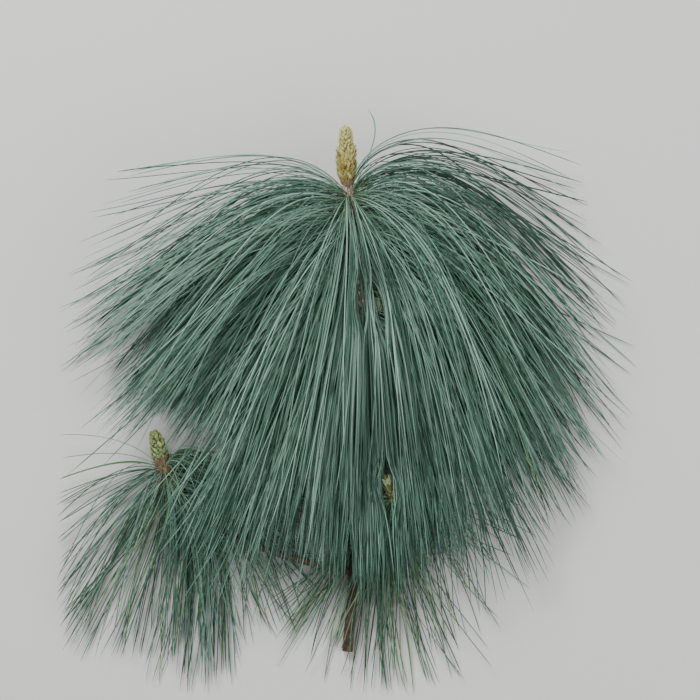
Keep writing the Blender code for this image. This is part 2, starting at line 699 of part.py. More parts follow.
def grow(name, core, paths, thick, most, space, sprays, limit=None):
    # fuses every spray that keeps to its own space to the core, up to the most it may have
    order = np.random.default_rng(len(paths)).permutation(len(paths))
    kept, starts, taken, reach = 0, np.empty((0, 3)), np.empty((0, 3)), np.empty(0)
    for number in order:
        if kept == most:
            break
        path = paths[number]
        if kept and np.linalg.norm(starts - path[0], axis=-1).min() < ROOT_SPACING:
            continue
        for part_length in LENGTH_TRIES:
            rings = spray_rings(path[:int(part_length * PATH_STEPS)], thick)
            places, radii = spray_lines(rings, thick)
            outer = np.linalg.norm(places - path[0], axis=-1) > CROWDED_FROM * NEEDLE_LENGTH
            inside = limit is None or places[:, 1].min() > -limit
            apart = np.linalg.norm(places[outer, None] - taken, axis=-1)
            apart = (apart > radii[outer, None] + reach + GAP).all()
            if inside and apart and space.is_clear(name, places, radii):
                starts = np.concatenate([starts, path[:1]])
                taken = np.concatenate([taken, places[outer]])
                reach = np.concatenate([reach, radii[outer]])
                space.take(name, places[1:], radii[1:])
                spray(f"{name}_{number}", rings, thick, sprays)
                kept += 1
                break
    space.settle()
    fuse(core, sprays)
    core.data.materials.clear()
    core.data.materials.append(material("needles"))
    print(name, "sprays", kept, "of", len(paths))


def reserve_limb(space, owner, line, radius):
    share = np.linspace(0.0, 1.0, LIMB_SAMPLES)
    space.take(owner, line(share), np.broadcast_to(radius(share), share.shape))


def reserve_sleeve(space, owner, line, shares, inner, sector):
    # keeps other masses' needles out of a sleeve
    reach = 0.5 * SLEEVE_THICKNESS + 0.5 * GAP
    fine = np.linspace(shares[0], shares[-1], SLEEVE_SAMPLES)
    middle = np.interp(fine, shares, inner) + 0.5 * SLEEVE_THICKNESS
    inset = math.asin(reach / float(middle.min()))
    turns = np.linspace(math.radians(sector[0]) + inset, math.radians(sector[1]) - inset, SLEEVE_TURNS)
    places, sideways, up = square_frame(line, fine)
    for turn in turns:
        ring = places + middle[:, None] * spokes(sideways, up, np.full(SLEEVE_SAMPLES, turn), 1.0)
        space.take(owner, ring, np.full(SLEEVE_SAMPLES, reach))


def limb_foot(start, pull, limb_radius):
    # where a side shoot starts: clear of the stem's bark, whatever the angle it leaves at
    middle = stem_line(start)
    along = Vector(stem_line(start - LINE_STEP) - middle).normalized()
    heading = Vector((pull[0] - middle[0], pull[1] - middle[1], 0.0)).normalized()
    cosine = abs(along.dot(heading))
    sine = math.sqrt(1.0 - cosine * cosine)
    away = (float(stem_radius(start)) + GAP + limb_radius * cosine) / sine
    return middle + np.asarray(heading) * away


# The pieces

def make_leader(parts, sprays, space):
    shares = np.linspace(0.0, 1.0, STEM_POINTS)
    tapered_limb("leader_stem", stem_line(shares), stem_radius(shares), 4, parts)
    reserve_limb(space, "leader_stem", stem_line, stem_radius)
    tip = stem_line(0.0)
    rise = tip - stem_line(LINE_STEP)
    rise = rise / np.linalg.norm(rise)
    foot = tip + rise * GAP
    length = math.hypot(*LEADER_CANDLE_TIP)
    top = np.array([*LEADER_CANDLE_TIP, foot[2] + rise[2] * length])
    candle("leader_candle", foot, top, LEADER_CANDLE_WIDTH, LEADER_OUTLINE, LEADER_SCALES, "candle",
           parts, sprays)
    reserve_candle(space, "leader_candle", foot, top, LEADER_CANDLE_WIDTH, LEADER_OUTLINE)


def side_candle(name, end, tip, width, scales, parts, sprays, space):
    # a young candle that carries on from a shoot's end
    peak = np.array([*tip, end[2] + CANDLE_RISE])
    start = end + (peak - end) / np.linalg.norm(peak - end) * CANDLE_GAP
    candle(name, start, peak, width, SHOOT_OUTLINE, scales, "young_candle", parts, sprays)
    reserve_candle(space, name, start, peak, width, SHOOT_OUTLINE)


def make_side_shoot(side, pull, end, candle_tip, width, scales, parts, sprays, space):
    # a side shoot and its candle; gives back the shoot's middle line
    foot = limb_foot(WHORL_SHARE, pull, TWIG_FOOT_RADIUS)
    line = bent_line((*end, TWIG_HEIGHT), (*pull, TWIG_HEIGHT), foot)
    shares = np.linspace(0.0, 1.0, TWIG_POINTS)
    tapered_limb(f"{side}_shoot", line(shares), twig_radius(shares), 2, parts)
    reserve_limb(space, f"{side}_shoot", line, twig_radius)
    side_candle(f"{side}_candle", line(0.0), candle_tip, width, scales, parts, sprays, space)
    return line


def make_bud(parts, sprays, space):
    foot = limb_foot(BUD_FOOT_SHARE, BUD_END, BUD_TWIG_RADIUS)
    end = np.array([*BUD_END, foot[2] + CANDLE_RISE])
    line = bent_line(end, 0.5 * (foot + end) + np.array(BUD_BOW), foot)
    radii = np.full(BUD_POINTS, BUD_TWIG_RADIUS)
    tapered_limb("bud_shoot", line(np.linspace(0.0, 1.0, BUD_POINTS)), radii, 2, parts)
    reserve_limb(space, "bud_shoot", line, lambda share: BUD_TWIG_RADIUS)
    side_candle("side_bud", end, BUD_TIP, BUD_RADIUS, BUD_SCALES, parts, sprays, space)


def make_leader_cores(parts, space):
    cores = {}
    for name, sector, stretch, under, most in MASSES:
        low, high = zone_place(stretch[0]) - SLEEVE_LIP, zone_place(stretch[1]) - SLEEVE_LIP - GAP
        if stretch[1] == 1.0:
            high = NEEDLE_ZONE + SLEEVE_LIP
        ring = np.linspace(low, high, SLEEVE_RINGS) / STEM_LENGTH
        inner = stem_radius(ring) + GAP
        cores[name] = sleeve(name, stem_line, ring, inner, sector, SLEEVE_ARC_STEPS, parts)
        reserve_sleeve(space, name, stem_line, ring, inner, sector)
    return cores


def make_tuft_cores(side, line, zone, parts, space):
    cores = {}
    ring = np.linspace(TUFT_START, zone * TUFT_END, TUFT_RINGS)
    inner = (twig_radius(ring) + BEND_ROOM + GAP) / math.cos(math.pi / 2.0 / TUFT_ARC_STEPS)
    for half, sector in (("outer", (90.0, 270.0)), ("inner", (-90.0, 90.0))):
        name = f"{side}_tuft_{half}"
        cores[name] = sleeve(name, line, ring, inner, sector, TUFT_ARC_STEPS, parts)
        reserve_sleeve(space, name, line, ring, inner, sector)
    return cores


def main():
    clear_scene()
    parts = new_collection("bhutan_pine_branch")
    sprays = new_collection("sprays_to_join")
    space = Space()
    make_leader(parts, sprays, space)
    left = make_side_shoot("left", LEFT_PULL, LEFT_END, LEFT_CANDLE_TIP, LEFT_CANDLE_WIDTH, LEFT_SCALES,
                           parts, sprays, space)
    right = make_side_shoot("right", RIGHT_PULL, RIGHT_END, RIGHT_CANDLE_TIP, RIGHT_CANDLE_WIDTH,
                            RIGHT_SCALES, parts, sprays, space)
    make_bud(parts, sprays, space)

    cores = make_leader_cores(parts, space)
    tufts = (("left", left, LEFT_TRIES, LEFT_NEEDLE_LENGTH, LEFT_MOST),
             ("right", right, RIGHT_TRIES, RIGHT_NEEDLE_LENGTH, RIGHT_MOST))
    zones = [TUFT_ZONE / (2.0 * math.dist(line(0.0), line(0.5))) for _, line, *_ in tufts]
    for (side, line, *_), zone in zip(tufts, zones):
        cores.update(make_tuft_cores(side, line, zone, parts, space))
    space.settle()

    rows = leader_needles()
    for index, (name, sector, stretch, under, most) in enumerate(MASSES):
        limit = UNDER_LIMIT if under else None
        grow(name, cores[name], rows[index], SPRAY_THICKNESS, most, space, sprays, limit)
    limbs = [(stem_line, STEM_CUT_RADIUS)] + [(line, TWIG_FOOT_RADIUS) for _, line, *_ in tufts]
    for (side, line, tries, needle_length, most), zone in zip(tufts, zones):
        for half, sign in (("outer", -1), ("inner", 1)):
            name = f"{side}_tuft_{half}"
            paths = tuft_needles(line, zone, tries, SEED + 7 + sign, needle_length, sign, limbs)
            grow(name, cores[name], paths, TUFT_THICKNESS, most, space, sprays)
    settle_on_floor(parts)


def settle_on_floor(parts):
    # moves the whole branch: the middle of its outline to the origin, its lowest point to Z = 0
    graph = bpy.context.evaluated_depsgraph_get()
    corners = []
    for piece in parts.objects:
        seen = piece.evaluated_get(graph)
        mesh = seen.to_mesh()
        places = np.empty(len(mesh.vertices) * 3, dtype=np.float32)
        mesh.vertices.foreach_get("co", places)
        world = np.array(piece.matrix_world)
        places = places.reshape(-1, 3) @ world[:3, :3].T + world[:3, 3]
        corners += [places.min(axis=0), places.max(axis=0)]
        seen.to_mesh_clear()
    low, high = np.min(corners, axis=0), np.max(corners, axis=0)
    shift = Vector((-(low[0] + high[0]) / 2.0, -(low[1] + high[1]) / 2.0, -low[2]))
    for piece in parts.objects:
        piece.location += shift


main()
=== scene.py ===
# Cut bhutan pine branch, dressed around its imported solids. Metres, +Z up, +Y towards the leader's tip.
# Shapes are first worked out from the foot of the leader's candle, as the solids were, and then moved
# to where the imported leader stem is.
import math

import bpy
import numpy as np
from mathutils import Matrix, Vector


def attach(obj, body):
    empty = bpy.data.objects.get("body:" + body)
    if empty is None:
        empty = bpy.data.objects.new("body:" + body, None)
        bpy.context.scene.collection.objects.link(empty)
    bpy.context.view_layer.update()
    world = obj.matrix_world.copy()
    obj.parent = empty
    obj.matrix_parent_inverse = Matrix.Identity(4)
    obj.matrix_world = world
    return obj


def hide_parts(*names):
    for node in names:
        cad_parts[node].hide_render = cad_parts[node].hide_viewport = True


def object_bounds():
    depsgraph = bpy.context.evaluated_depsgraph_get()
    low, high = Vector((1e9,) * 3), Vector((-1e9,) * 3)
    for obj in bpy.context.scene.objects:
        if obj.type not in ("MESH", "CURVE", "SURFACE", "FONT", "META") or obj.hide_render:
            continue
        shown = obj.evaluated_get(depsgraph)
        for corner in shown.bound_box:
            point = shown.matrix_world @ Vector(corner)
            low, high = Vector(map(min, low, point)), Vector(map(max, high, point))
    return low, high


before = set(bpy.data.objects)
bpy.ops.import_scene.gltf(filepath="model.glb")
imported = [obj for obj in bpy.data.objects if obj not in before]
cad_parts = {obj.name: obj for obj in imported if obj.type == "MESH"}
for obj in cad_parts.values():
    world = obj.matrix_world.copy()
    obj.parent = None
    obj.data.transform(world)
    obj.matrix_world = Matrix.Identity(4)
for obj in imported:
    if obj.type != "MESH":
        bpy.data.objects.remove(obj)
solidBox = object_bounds()
goldenTurn = math.pi * (3.0 - math.sqrt(5.0))


# Numbers and curves

def rampUp(value, low, high):
    # eased step: 0 below low, 1 above high, 3t^2 - 2t^3 between
    t = np.clip((value - low) / (high - low), 0.0, 1.0)
    return t * t * (3.0 - 2.0 * t)


def softMax(a, b, width):
    # the larger of two, rounded off where they meet
    return 0.5 * (a + b + np.sqrt((a - b) ** 2 + width * width))


def softMin(a, b, width):
    return -softMax(-a, -b, width)


def unit(vectors):
    return vectors / np.maximum(np.linalg.norm(vectors, axis=-1, keepdims=True), 1e-12)


# Stem and shoots

leader = {
    "length": 0.267, "tipRadius": 0.0020, "cutRadius": 0.0030, "tipHeight": 0.042, "liftPower": 1.2,
    "bow": 0.0098, "bowSkew": 0.8, "whorlShare": 0.83, "whorlSwelling": 0.0008, "whorlReach": 0.04,
}
sideShoots = {
    "left": {"pull": (-0.100, -0.200), "end": (-0.1062, -0.1590), "candleTip": (-0.1119, -0.1389)},
    "right": {"pull": (0.0330, -0.2060), "end": (0.0255, -0.1760), "candleTip": (0.0203, -0.1635)},
}
shootSizes = {"height": 0.0105, "radius": 0.0014, "footRadius": 0.0018, "candleRise": 0.001}
budShoot = {"footShare": 0.342, "end": (0.0185, -0.0730), "tip": (0.0163, -0.0590), "radius": 0.0009,
            "bow": (0.001, -0.001, 0.0)}


def leaderLine(share):
    # the stem's middle line: a level sine bow in x, an even run in -y, and a power curve in height
    share = np.asarray(share, dtype=float)
    x = leader["bow"] * np.sin(np.pi * share ** leader["bowSkew"])
    rise = leader["tipHeight"] - leader["cutRadius"]
    z = leader["cutRadius"] + rise * (1.0 - share) ** leader["liftPower"]
    return np.stack([x, -leader["length"] * share, z], axis=-1)


def leaderRadius(share):
    # straight taper with a bell-shaped swelling at the whorl
    share = np.asarray(share, dtype=float)
    taper = leader["tipRadius"] + (leader["cutRadius"] - leader["tipRadius"]) * share
    bell = np.exp(-((share - leader["whorlShare"]) / leader["whorlReach"]) ** 2)
    return taper + leader["whorlSwelling"] * bell


def bentLine(tip, pull, foot):
    # one quadratic bend from the tip, share 0, to the foot, share 1; past 1 it runs straight on
    tip, pull, foot = (np.asarray(p, dtype=float) for p in (tip, pull, foot))

    def line(share):
        share = np.asarray(share, dtype=float)[..., None]
        inside = np.clip(share, 0.0, 1.0)
        curve = tip * (1 - inside) ** 2 + pull * 2 * inside * (1 - inside) + foot * inside ** 2
        return curve + (share - inside) * 2.0 * (foot - pull)

    return line


def shootRadius(share):
    return shootSizes["radius"] + (shootSizes["footRadius"] - shootSizes["radius"]) * share


def squareFrame(line, share):
    # places on a line counted from its tip, the level direction square to it and the one square to both
    share = np.asarray(share, dtype=float)
    heading = unit(line(np.maximum(share - 0.005, 0.0)) - line(np.minimum(share + 0.005, 1.0)))
    sideways = unit(np.stack([heading[..., 1], -heading[..., 0], 0.0 * heading[..., 0]], axis=-1))
    return line(share), sideways, np.cross(sideways, heading)


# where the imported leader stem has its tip
stemPoints = np.array([v.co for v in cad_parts["leader_stem"].data.vertices])
topRing = stemPoints[stemPoints[:, 1] > stemPoints[:, 1].max() - 0.0012]
branchPlace = topRing.mean(axis=0) - leaderLine(0.0)
print("branch place", branchPlace, len(topRing))


# Meshes

def meshFromArrays(name, points, faceSets, materials, faceMaterials=None):
    # one mesh from a point array and face arrays of three or four corners; turned out if inside out
    points = points.reshape(-1, 3) + branchPlace
    triangles = np.concatenate([f[:, [0, i, i + 1]] for f in faceSets for i in range(1, f.shape[1] - 1)])
    a, b, c = (points[triangles[:, i]] for i in range(3))
    if np.einsum("ij,ij->i", a, np.cross(b, c)).sum() < 0.0:
        faceSets = [f[:, ::-1] for f in faceSets]
    corners = np.concatenate([f.ravel() for f in faceSets]).astype(np.int32)
    sizes = np.concatenate([np.full(len(f), f.shape[1], np.int32) for f in faceSets])
    mesh = bpy.data.meshes.new(name)
    mesh.vertices.add(len(points))
    mesh.vertices.foreach_set("co", points.astype(np.float32).ravel())
    mesh.loops.add(len(corners))
    mesh.loops.foreach_set("vertex_index", corners)
    mesh.polygons.add(len(sizes))
    mesh.polygons.foreach_set("loop_start", np.concatenate([[0], np.cumsum(sizes)[:-1]]).astype(np.int32))
    for material in materials:
        mesh.materials.append(material)
    if faceMaterials is not None:
        mesh.polygons.foreach_set("material_index", faceMaterials.astype(np.int32))
    mesh.update(calc_edges=True)
    mesh.validate()
    return mesh


def addPiece(name, mesh, slot, nodes=(), sharpAngle=35.0):
    mesh.shade_smooth()
    mesh.set_sharp_from_angle(angle=math.radians(sharpAngle))
    piece = bpy.data.objects.new(name, mesh)
    bpy.context.scene.collection.objects.link(piece)
    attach(piece, "root")
    if nodes:
        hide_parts(*nodes)
    return piece


def tubeFaces(rings, sides):
    # quads of a closed tube whose rings follow each other, and a fan at each end round a middle point
    ring, side = np.meshgrid(np.arange(rings - 1), np.arange(sides), indexing="ij")
    here, beside = ring * sides + side, ring * sides + (side + 1) % sides
    quads = np.stack([here, beside, beside + sides, here + sides], axis=-1).reshape(-1, 4)
    corner = np.arange(sides)
    start, end = rings * sides, rings * sides + 1
    last = (rings - 1) * sides
    startFan = np.stack([(corner + 1) % sides, corner, np.full(sides, start)], axis=-1)
    endFan = np.stack([last + corner, last + (corner + 1) % sides, np.full(sides, end)], axis=-1)
    return quads, startFan, endFan


# Materials

def newMaterial(name, colour, roughness, specular=0.4):
    made = bpy.data.materials.new(name)
    made.use_nodes = True
    shader = made.node_tree.nodes["Principled BSDF"]
    shader.inputs["Base Color"].default_value = (*colour, 1.0)
    shader.inputs["Roughness"].default_value = roughness
    shader.inputs["Specular IOR Level"].default_value = specular
    shader.inputs["Metallic"].default_value = 0.0
    return made


def addNode(material, kind, settings=None, inputs=None):
    node = material.node_tree.nodes.new(kind)
    for key, value in (settings or {}).items():
        setattr(node, key, value)
    for key, value in (inputs or {}).items():
        node.inputs[key].default_value = value
    return node


def colourRamp(material, stops):
    node = material.node_tree.nodes.new("ShaderNodeValToRGB")
    ramp = node.color_ramp
    while len(ramp.elements) < len(stops):
        ramp.elements.new(0.5)
    for element, (place, colour) in zip(ramp.elements, stops):
        element.position = place
        element.color = (*colour, 1.0)
    return node


barkLook = {
    "stops": ((0.00, (0.085, 0.045, 0.034)), (0.22, (0.105, 0.058, 0.043)), (0.48, (0.200, 0.118, 0.092)),
              (0.70, (0.560, 0.425, 0.355)), (0.86, (0.400, 0.315, 0.235)), (1.00, (0.190, 0.205, 0.115))),
    "flake": (0.42, 0.33, 0.28), "crack": (0.035, 0.020, 0.016), "roughness": 0.78,
}


def barkMaterial(name, lowY, highY, stops):
    # colour runs along Y from the cut to the tip, with flaky patches, dark cracks and fine grain
    made = newMaterial(name, (0.2, 0.13, 0.1), barkLook["roughness"], 0.25)
    links = made.node_tree.links
    shader = made.node_tree.nodes["Principled BSDF"]
    place = addNode(made, "ShaderNodeTexCoord")
    split = addNode(made, "ShaderNodeSeparateXYZ")
    links.new(place.outputs["Object"], split.inputs[0])
    along = addNode(made, "ShaderNodeMapRange", inputs={"From Min": lowY, "From Max": highY})
    links.new(split.outputs["Y"], along.inputs["Value"])
    run = colourRamp(made, stops)
    links.new(along.outputs["Result"], run.inputs["Fac"])
    stretch = addNode(made, "ShaderNodeMapping", inputs={"Scale": (1.0, 0.35, 1.0)})
    links.new(place.outputs["Object"], stretch.inputs["Vector"])
    flakes = addNode(made, "ShaderNodeTexNoise", inputs={"Scale": 900.0, "Detail": 5.0, "Roughness": 0.6})
    links.new(stretch.outputs[0], flakes.inputs["Vector"])
    cells = addNode(made, "ShaderNodeTexVoronoi", {"feature": "DISTANCE_TO_EDGE"}, {"Scale": 620.0})
    links.new(stretch.outputs[0], cells.inputs["Vector"])
    flakeShare = addNode(made, "ShaderNodeMapRange", inputs={"From Min": 0.52, "From Max": 0.74, "To Max": 0.55})
    links.new(flakes.outputs["Fac"], flakeShare.inputs["Value"])
    flaked = addNode(made, "ShaderNodeMix", {"data_type": "RGBA"})
    flaked.inputs["B"].default_value = (*barkLook["flake"], 1.0)
    links.new(flakeShare.outputs["Result"], flaked.inputs["Factor"])
    links.new(run.outputs["Color"], flaked.inputs["A"])
    crackShare = addNode(made, "ShaderNodeMapRange",
                         inputs={"From Min": 0.0, "From Max": 0.09, "To Min": 0.75, "To Max": 0.0})
    links.new(cells.outputs["Distance"], crackShare.inputs["Value"])
    cracked = addNode(made, "ShaderNodeMix", {"data_type": "RGBA"})
    cracked.inputs["B"].default_value = (*barkLook["crack"], 1.0)
    links.new(crackShare.outputs["Result"], cracked.inputs["Factor"])
    links.new(flaked.outputs["Result"], cracked.inputs["A"])
    links.new(cracked.outputs["Result"], shader.inputs["Base Color"])
    bump = addNode(made, "ShaderNodeBump", inputs={"Strength": 0.55, "Distance": 0.0004})
    links.new(flakes.outputs["Fac"], bump.inputs["Height"])
    links.new(bump.outputs["Normal"], shader.inputs["Normal"])
    return made


cutLook = {"pith": (0.30, 0.17, 0.08), "wood": (0.66, 0.52, 0.31), "ring": (0.45, 0.30, 0.15), "ringSpacing": 0.00085}


def cutMaterial(centre):
    # growth rings round the stem's middle, in plain pale wood
    made = newMaterial("freshCut", cutLook["wood"], 0.65, 0.3)
    links = made.node_tree.links
    shader = made.node_tree.nodes["Principled BSDF"]
    place = addNode(made, "ShaderNodeTexCoord")
    away = addNode(made, "ShaderNodeVectorMath", {"operation": "DISTANCE"})
    away.inputs[1].default_value = tuple(centre)
    links.new(place.outputs["Object"], away.inputs[0])
    rings = addNode(made, "ShaderNodeMath", {"operation": "PINGPONG"})
    rings.inputs[1].default_value = cutLook["ringSpacing"]
    links.new(away.outputs["Value"], rings.inputs[0])
    share = addNode(made, "ShaderNodeMapRange",
                    inputs={"From Min": cutLook["ringSpacing"] * 0.6, "From Max": cutLook["ringSpacing"]})
    links.new(rings.outputs["Value"], share.inputs["Value"])
    ringed = addNode(made, "ShaderNodeMix", {"data_type": "RGBA"})
    ringed.inputs["A"].default_value = (*cutLook["wood"], 1.0)
    ringed.inputs["B"].default_value = (*cutLook["ring"], 1.0)
    links.new(share.outputs["Result"], ringed.inputs["Factor"])
    pith = addNode(made, "ShaderNodeMapRange",
                   inputs={"From Min": 0.0004, "From Max": 0.0007, "To Min": 1.0, "To Max": 0.0})
    links.new(away.outputs["Value"], pith.inputs["Value"])
    whole = addNode(made, "ShaderNodeMix", {"data_type": "RGBA"})
    whole.inputs["B"].default_value = (*cutLook["pith"], 1.0)
    links.new(pith.outputs["Result"], whole.inputs["Factor"])
    links.new(ringed.outputs["Result"], whole.inputs["A"])
    links.new(whole.outputs["Result"], shader.inputs["Base Color"])
    return made


# Bark

barkRelief = {"step": 0.0006, "sides": 28, "pegHeight": 0.00034, "pegLength": 0.0024, "pegWidth": 0.0008,
              "furrow": 0.00010, "grain": 0.00006}


def barkTube(line, radius, length, low, high, pegs, seed):
    # A tube along a line. Its radius carries pegs set in a golden spiral, each steep at its upper end
    # and running out below, and shallow furrows and grain made of sines with seeded phases.
    rings = max(int(length * (high - low) / barkRelief["step"]), 8)
    share = np.linspace(low, high, rings)
    turn = np.linspace(0.0, 2.0 * np.pi, barkRelief["sides"], endpoint=False)
    places, sideways, up = squareFrame(line, share)
    base = radius(share)[:, None] * np.ones_like(turn)
    pegShare = low + (high - low) * (np.arange(pegs) + 0.5) / pegs
    pegTurn = (np.arange(pegs) * goldenTurn) % (2.0 * np.pi)
    relief = np.zeros_like(base)
    for first in range(0, pegs, 64):
        place, angle = pegShare[first:first + 64], pegTurn[first:first + 64]
        along = (share[:, None, None] - place) * length
        around = (turn[None, :, None] - angle + np.pi) % (2.0 * np.pi) - np.pi
        reach = np.where(along < 0.0, 0.25, 1.0) * barkRelief["pegLength"]
        bump = np.exp(-(along / reach) ** 2 - (around * radius(place) / barkRelief["pegWidth"]) ** 2)
        relief += bump.sum(axis=-1)
    dice = np.random.default_rng(seed)
    grain = np.zeros_like(base)
    for _ in range(9):
        waves, pace = dice.integers(2, 9), dice.uniform(200.0, 2600.0)
        grain += np.sin(waves * turn + pace * length * share[:, None] + dice.uniform(0.0, 6.28)) / 9.0
    furrows = np.sin(7.0 * turn + 14.0 * np.sin(share[:, None] * length * 90.0))
    surface = base + barkRelief["pegHeight"] * np.minimum(relief, 1.2)
    surface += barkRelief["grain"] * 3.0 * grain + barkRelief["furrow"] * np.minimum(furrows, 0.0)
    out = sideways[:, None] * np.cos(turn)[:, None] + up[:, None] * np.sin(turn)[:, None]
    points = places[:, None] + surface[..., None] * out
    points[..., 2] = np.maximum(points[..., 2], -branchPlace[2])
    ends = np.stack([line(low), line(high)])
    return np.concatenate([points.reshape(-1, 3), ends]), tubeFaces(rings, len(turn))


print("bark")
stemBark = barkMaterial("leaderBark", branchPlace[1] - leader["length"], branchPlace[1], barkLook["stops"])
cutCentre = leaderLine(1.0) + branchPlace
points, faceSets = barkTube(leaderLine, leaderRadius, leader["length"], 0.0, 1.0, 330, 3)
counts = [len(f) for f in faceSets]
stemMesh = meshFromArrays("leaderStem", points, faceSets, [stemBark, cutMaterial(cutCentre)],
                          np.repeat([0, 0, 1], counts))
addPiece("leaderStem", stemMesh, "bark", ["leader_stem"], 50.0)


def shootFoot(share, pull, limbRadius):
    # where a side shoot's solid starts, just clear of the stem's bark
    middle = leaderLine(share)
    along = unit(leaderLine(share - 0.005) - middle)
    heading = unit(np.array([pull[0] - middle[0], pull[1] - middle[1], 0.0]))
    cosine = abs(along @ heading)
    away = (leaderRadius(share) + 0.0003 + limbRadius * cosine) / math.sqrt(1.0 - cosine * cosine)
    return middle + heading * away


shootStops = ((0.0, (0.150, 0.095, 0.062)), (0.5, (0.190, 0.140, 0.085)), (1.0, (0.160, 0.180, 0.090)))
shootLines = {}
for side, spec in sideShoots.items():
    foot = shootFoot(leader["whorlShare"], spec["pull"], shootSizes["footRadius"])
    height = shootSizes["height"]
    line = bentLine((*spec["end"], height), (*spec["pull"], height), foot)
    length = float(np.linalg.norm(np.diff(line(np.linspace(0, 1, 60)), axis=0), axis=1).sum())
    shootLines[side] = (line, length)
    yRange = sorted((spec["end"][1] + branchPlace[1], foot[1] + branchPlace[1]))
    bark = barkMaterial(f"{side}ShootBark", *yRange, shootStops)
    points, faceSets = barkTube(line, shootRadius, length, 0.0, 1.0 + 0.0030 / length, int(length * 1500), 5)
    addPiece(f"{side}Shoot", meshFromArrays(f"{side}Shoot", points, faceSets, [bark]), "bark", [f"{side}_shoot"], 50.0)

budFoot = shootFoot(budShoot["footShare"], budShoot["end"], budShoot["radius"])
budEnd = np.array([*budShoot["end"], budFoot[2] + shootSizes["candleRise"]])
budLine = bentLine(budEnd, 0.5 * (budFoot + budEnd) + np.array(budShoot["bow"]), budFoot)
budLength = float(np.linalg.norm(budEnd - budFoot))
points, faceSets = barkTube(budLine, lambda share: budShoot["radius"] + 0.0 * np.asarray(share), budLength,
                            0.0, 1.2, 24, 8)
budBark = barkMaterial("budShootBark", budEnd[1] + branchPlace[1], budFoot[1] + branchPlace[1], shootStops)
addPiece("budShoot", meshFromArrays("budShoot", points, faceSets, [budBark]), "bark", ["bud_shoot"], 50.0)


# Needles

needleLook = {
    # plain base colours dealt out needle by needle, dark to light: outer side, and the paler inner sides
    "shades": (((0.026, 0.068, 0.046), (0.070, 0.150, 0.112)), ((0.036, 0.094, 0.064), (0.112, 0.218, 0.168)),
               ((0.048, 0.120, 0.083), (0.160, 0.292, 0.234)), ((0.062, 0.146, 0.102), (0.208, 0.360, 0.296)),
               ((0.078, 0.172, 0.118), (0.262, 0.428, 0.356)), ((0.100, 0.200, 0.134), (0.320, 0.500, 0.414))),
    "rootShade": ((0.060, 0.125, 0.066), (0.170, 0.290, 0.180)), "tipShade": (0.260, 0.215, 0.110),
    "freshShade": ((0.055, 0.130, 0.052), (0.150, 0.285, 0.130)),
    "roughness": 0.54, "rings": 24, "ringPower": 1.35, "rootShare": 0.035,
    "profile": ((0.0, 0.42), (0.05, 0.56), (0.14, 0.78), (0.28, 1.0), (0.84, 1.0), (0.95, 0.84), (0.985, 0.55), (1.0, 0.22)),
    # the falls and their ranges below are painted shade: needles are dealt darker shades towards the bottom, the right
    # and most at the lower right, where the light falls off
    "bundle": 5, "toneScatter": 0.22, "paintedShadeFall": 0.52, "fallRange": (0.130, 0.235),
    "rightFall": 0.17, "rightRange": (0.015, 0.080), "paintedShadeLowRight": 0.24, "lowRange": (0.115, 0.190),
    "lowRightRange": (-0.035, 0.030),
}
fountainRule = {
    "bendPower": 3.0, "droopTilt": math.radians(8.4), "widestFinal": 60.0, "mostFinal": 92.0, "steepest": 25.0,
    "sidePower": 0.95, "launchRange": (24.0, 172.0), "zonePower": 1.8, "openPower": 1.0, "steps": 96,
    "frontZone": 0.041, "shortestArc": 0.76, "arcRange": (25.0, 85.0), "frontPower": 1.25,
    "partingFall": 1.5, "leastFront": 90.0, "bareFront": 0.0034,
}
brownSheath = (("brown", "tan"), ("brown", "rose"), ("rose", "tan"))
fountains = {
    # bundles, how they crowd towards the foot, azimuths, longest needle, how flat the fountain lies, the
    # stretch of shoot they stand on, launch angles from the tip at the sides and in front, how much wider
    # it opens on the left, short and fresh shares
    "upper": {"bundles": 400, "crowding": 0.50, "start": 0.0, "span": math.pi, "length": 0.180, "flattening": 0.40,
              "zone": 0.078, "zoneStart": 0.0004, "side": (22.0, 125.0), "front": (135.0, 170.0),
              "lopsided": 0.16, "leftFlat": (-10.0, 30.0), "open": 1.0, "loose": 1.15, "width": 0.00064, "short": 0.0, "fresh": 0.003, "seed": 21, "sheath": (0.0024, brownSheath)},
    "under": {"bundles": 230, "crowding": 0.9, "start": math.pi, "span": math.pi, "length": 0.180,
              "flattening": 0.40, "zone": 0.078, "zoneStart": 0.0020, "side": (46.0, 125.0), "front": (100.0, 150.0),
              "lopsided": 0.08, "leftFlat": (0.0, 0.0), "open": 1.0, "loose": 1.2, "width": 0.00074, "short": 0.0, "fresh": 0.02,
              "seed": 22, "sheath": (0.0024, brownSheath)},
    "left": {"bundles": 96, "crowding": 1.0, "start": 0.0, "span": 2.0 * math.pi, "length": 0.102,
             "flattening": 0.24, "zone": 0.034, "zoneStart": 0.0004, "side": (44.0, 140.0), "front": (120.0, 172.0),
             "lopsided": 0.0, "leftFlat": (0.0, 0.0), "open": 1.45, "loose": 1.6, "width": 0.00060, "short": 0.40, "fresh": 0.24, "hooks": 14, "seed": 23, "sheath": (0.0046, (("amber", "tan"), ("brown", "tan"), ("tan", "leafy")))},
    "right": {"bundles": 62, "crowding": 1.0, "start": 0.0, "span": 2.0 * math.pi, "length": 0.086,
              "flattening": 0.24, "zone": 0.034, "zoneStart": 0.0004, "side": (44.0, 140.0), "front": (120.0, 172.0),
              "lopsided": 0.0, "leftFlat": (0.0, 0.0), "open": 1.25, "loose": 1.9, "width": 0.00060, "short": 0.45, "fresh": 0.45, "hooks": 6, "seed": 24, "sheath": (0.0022, (("moss", "leafy"), ("olive", "leafy")))},
}
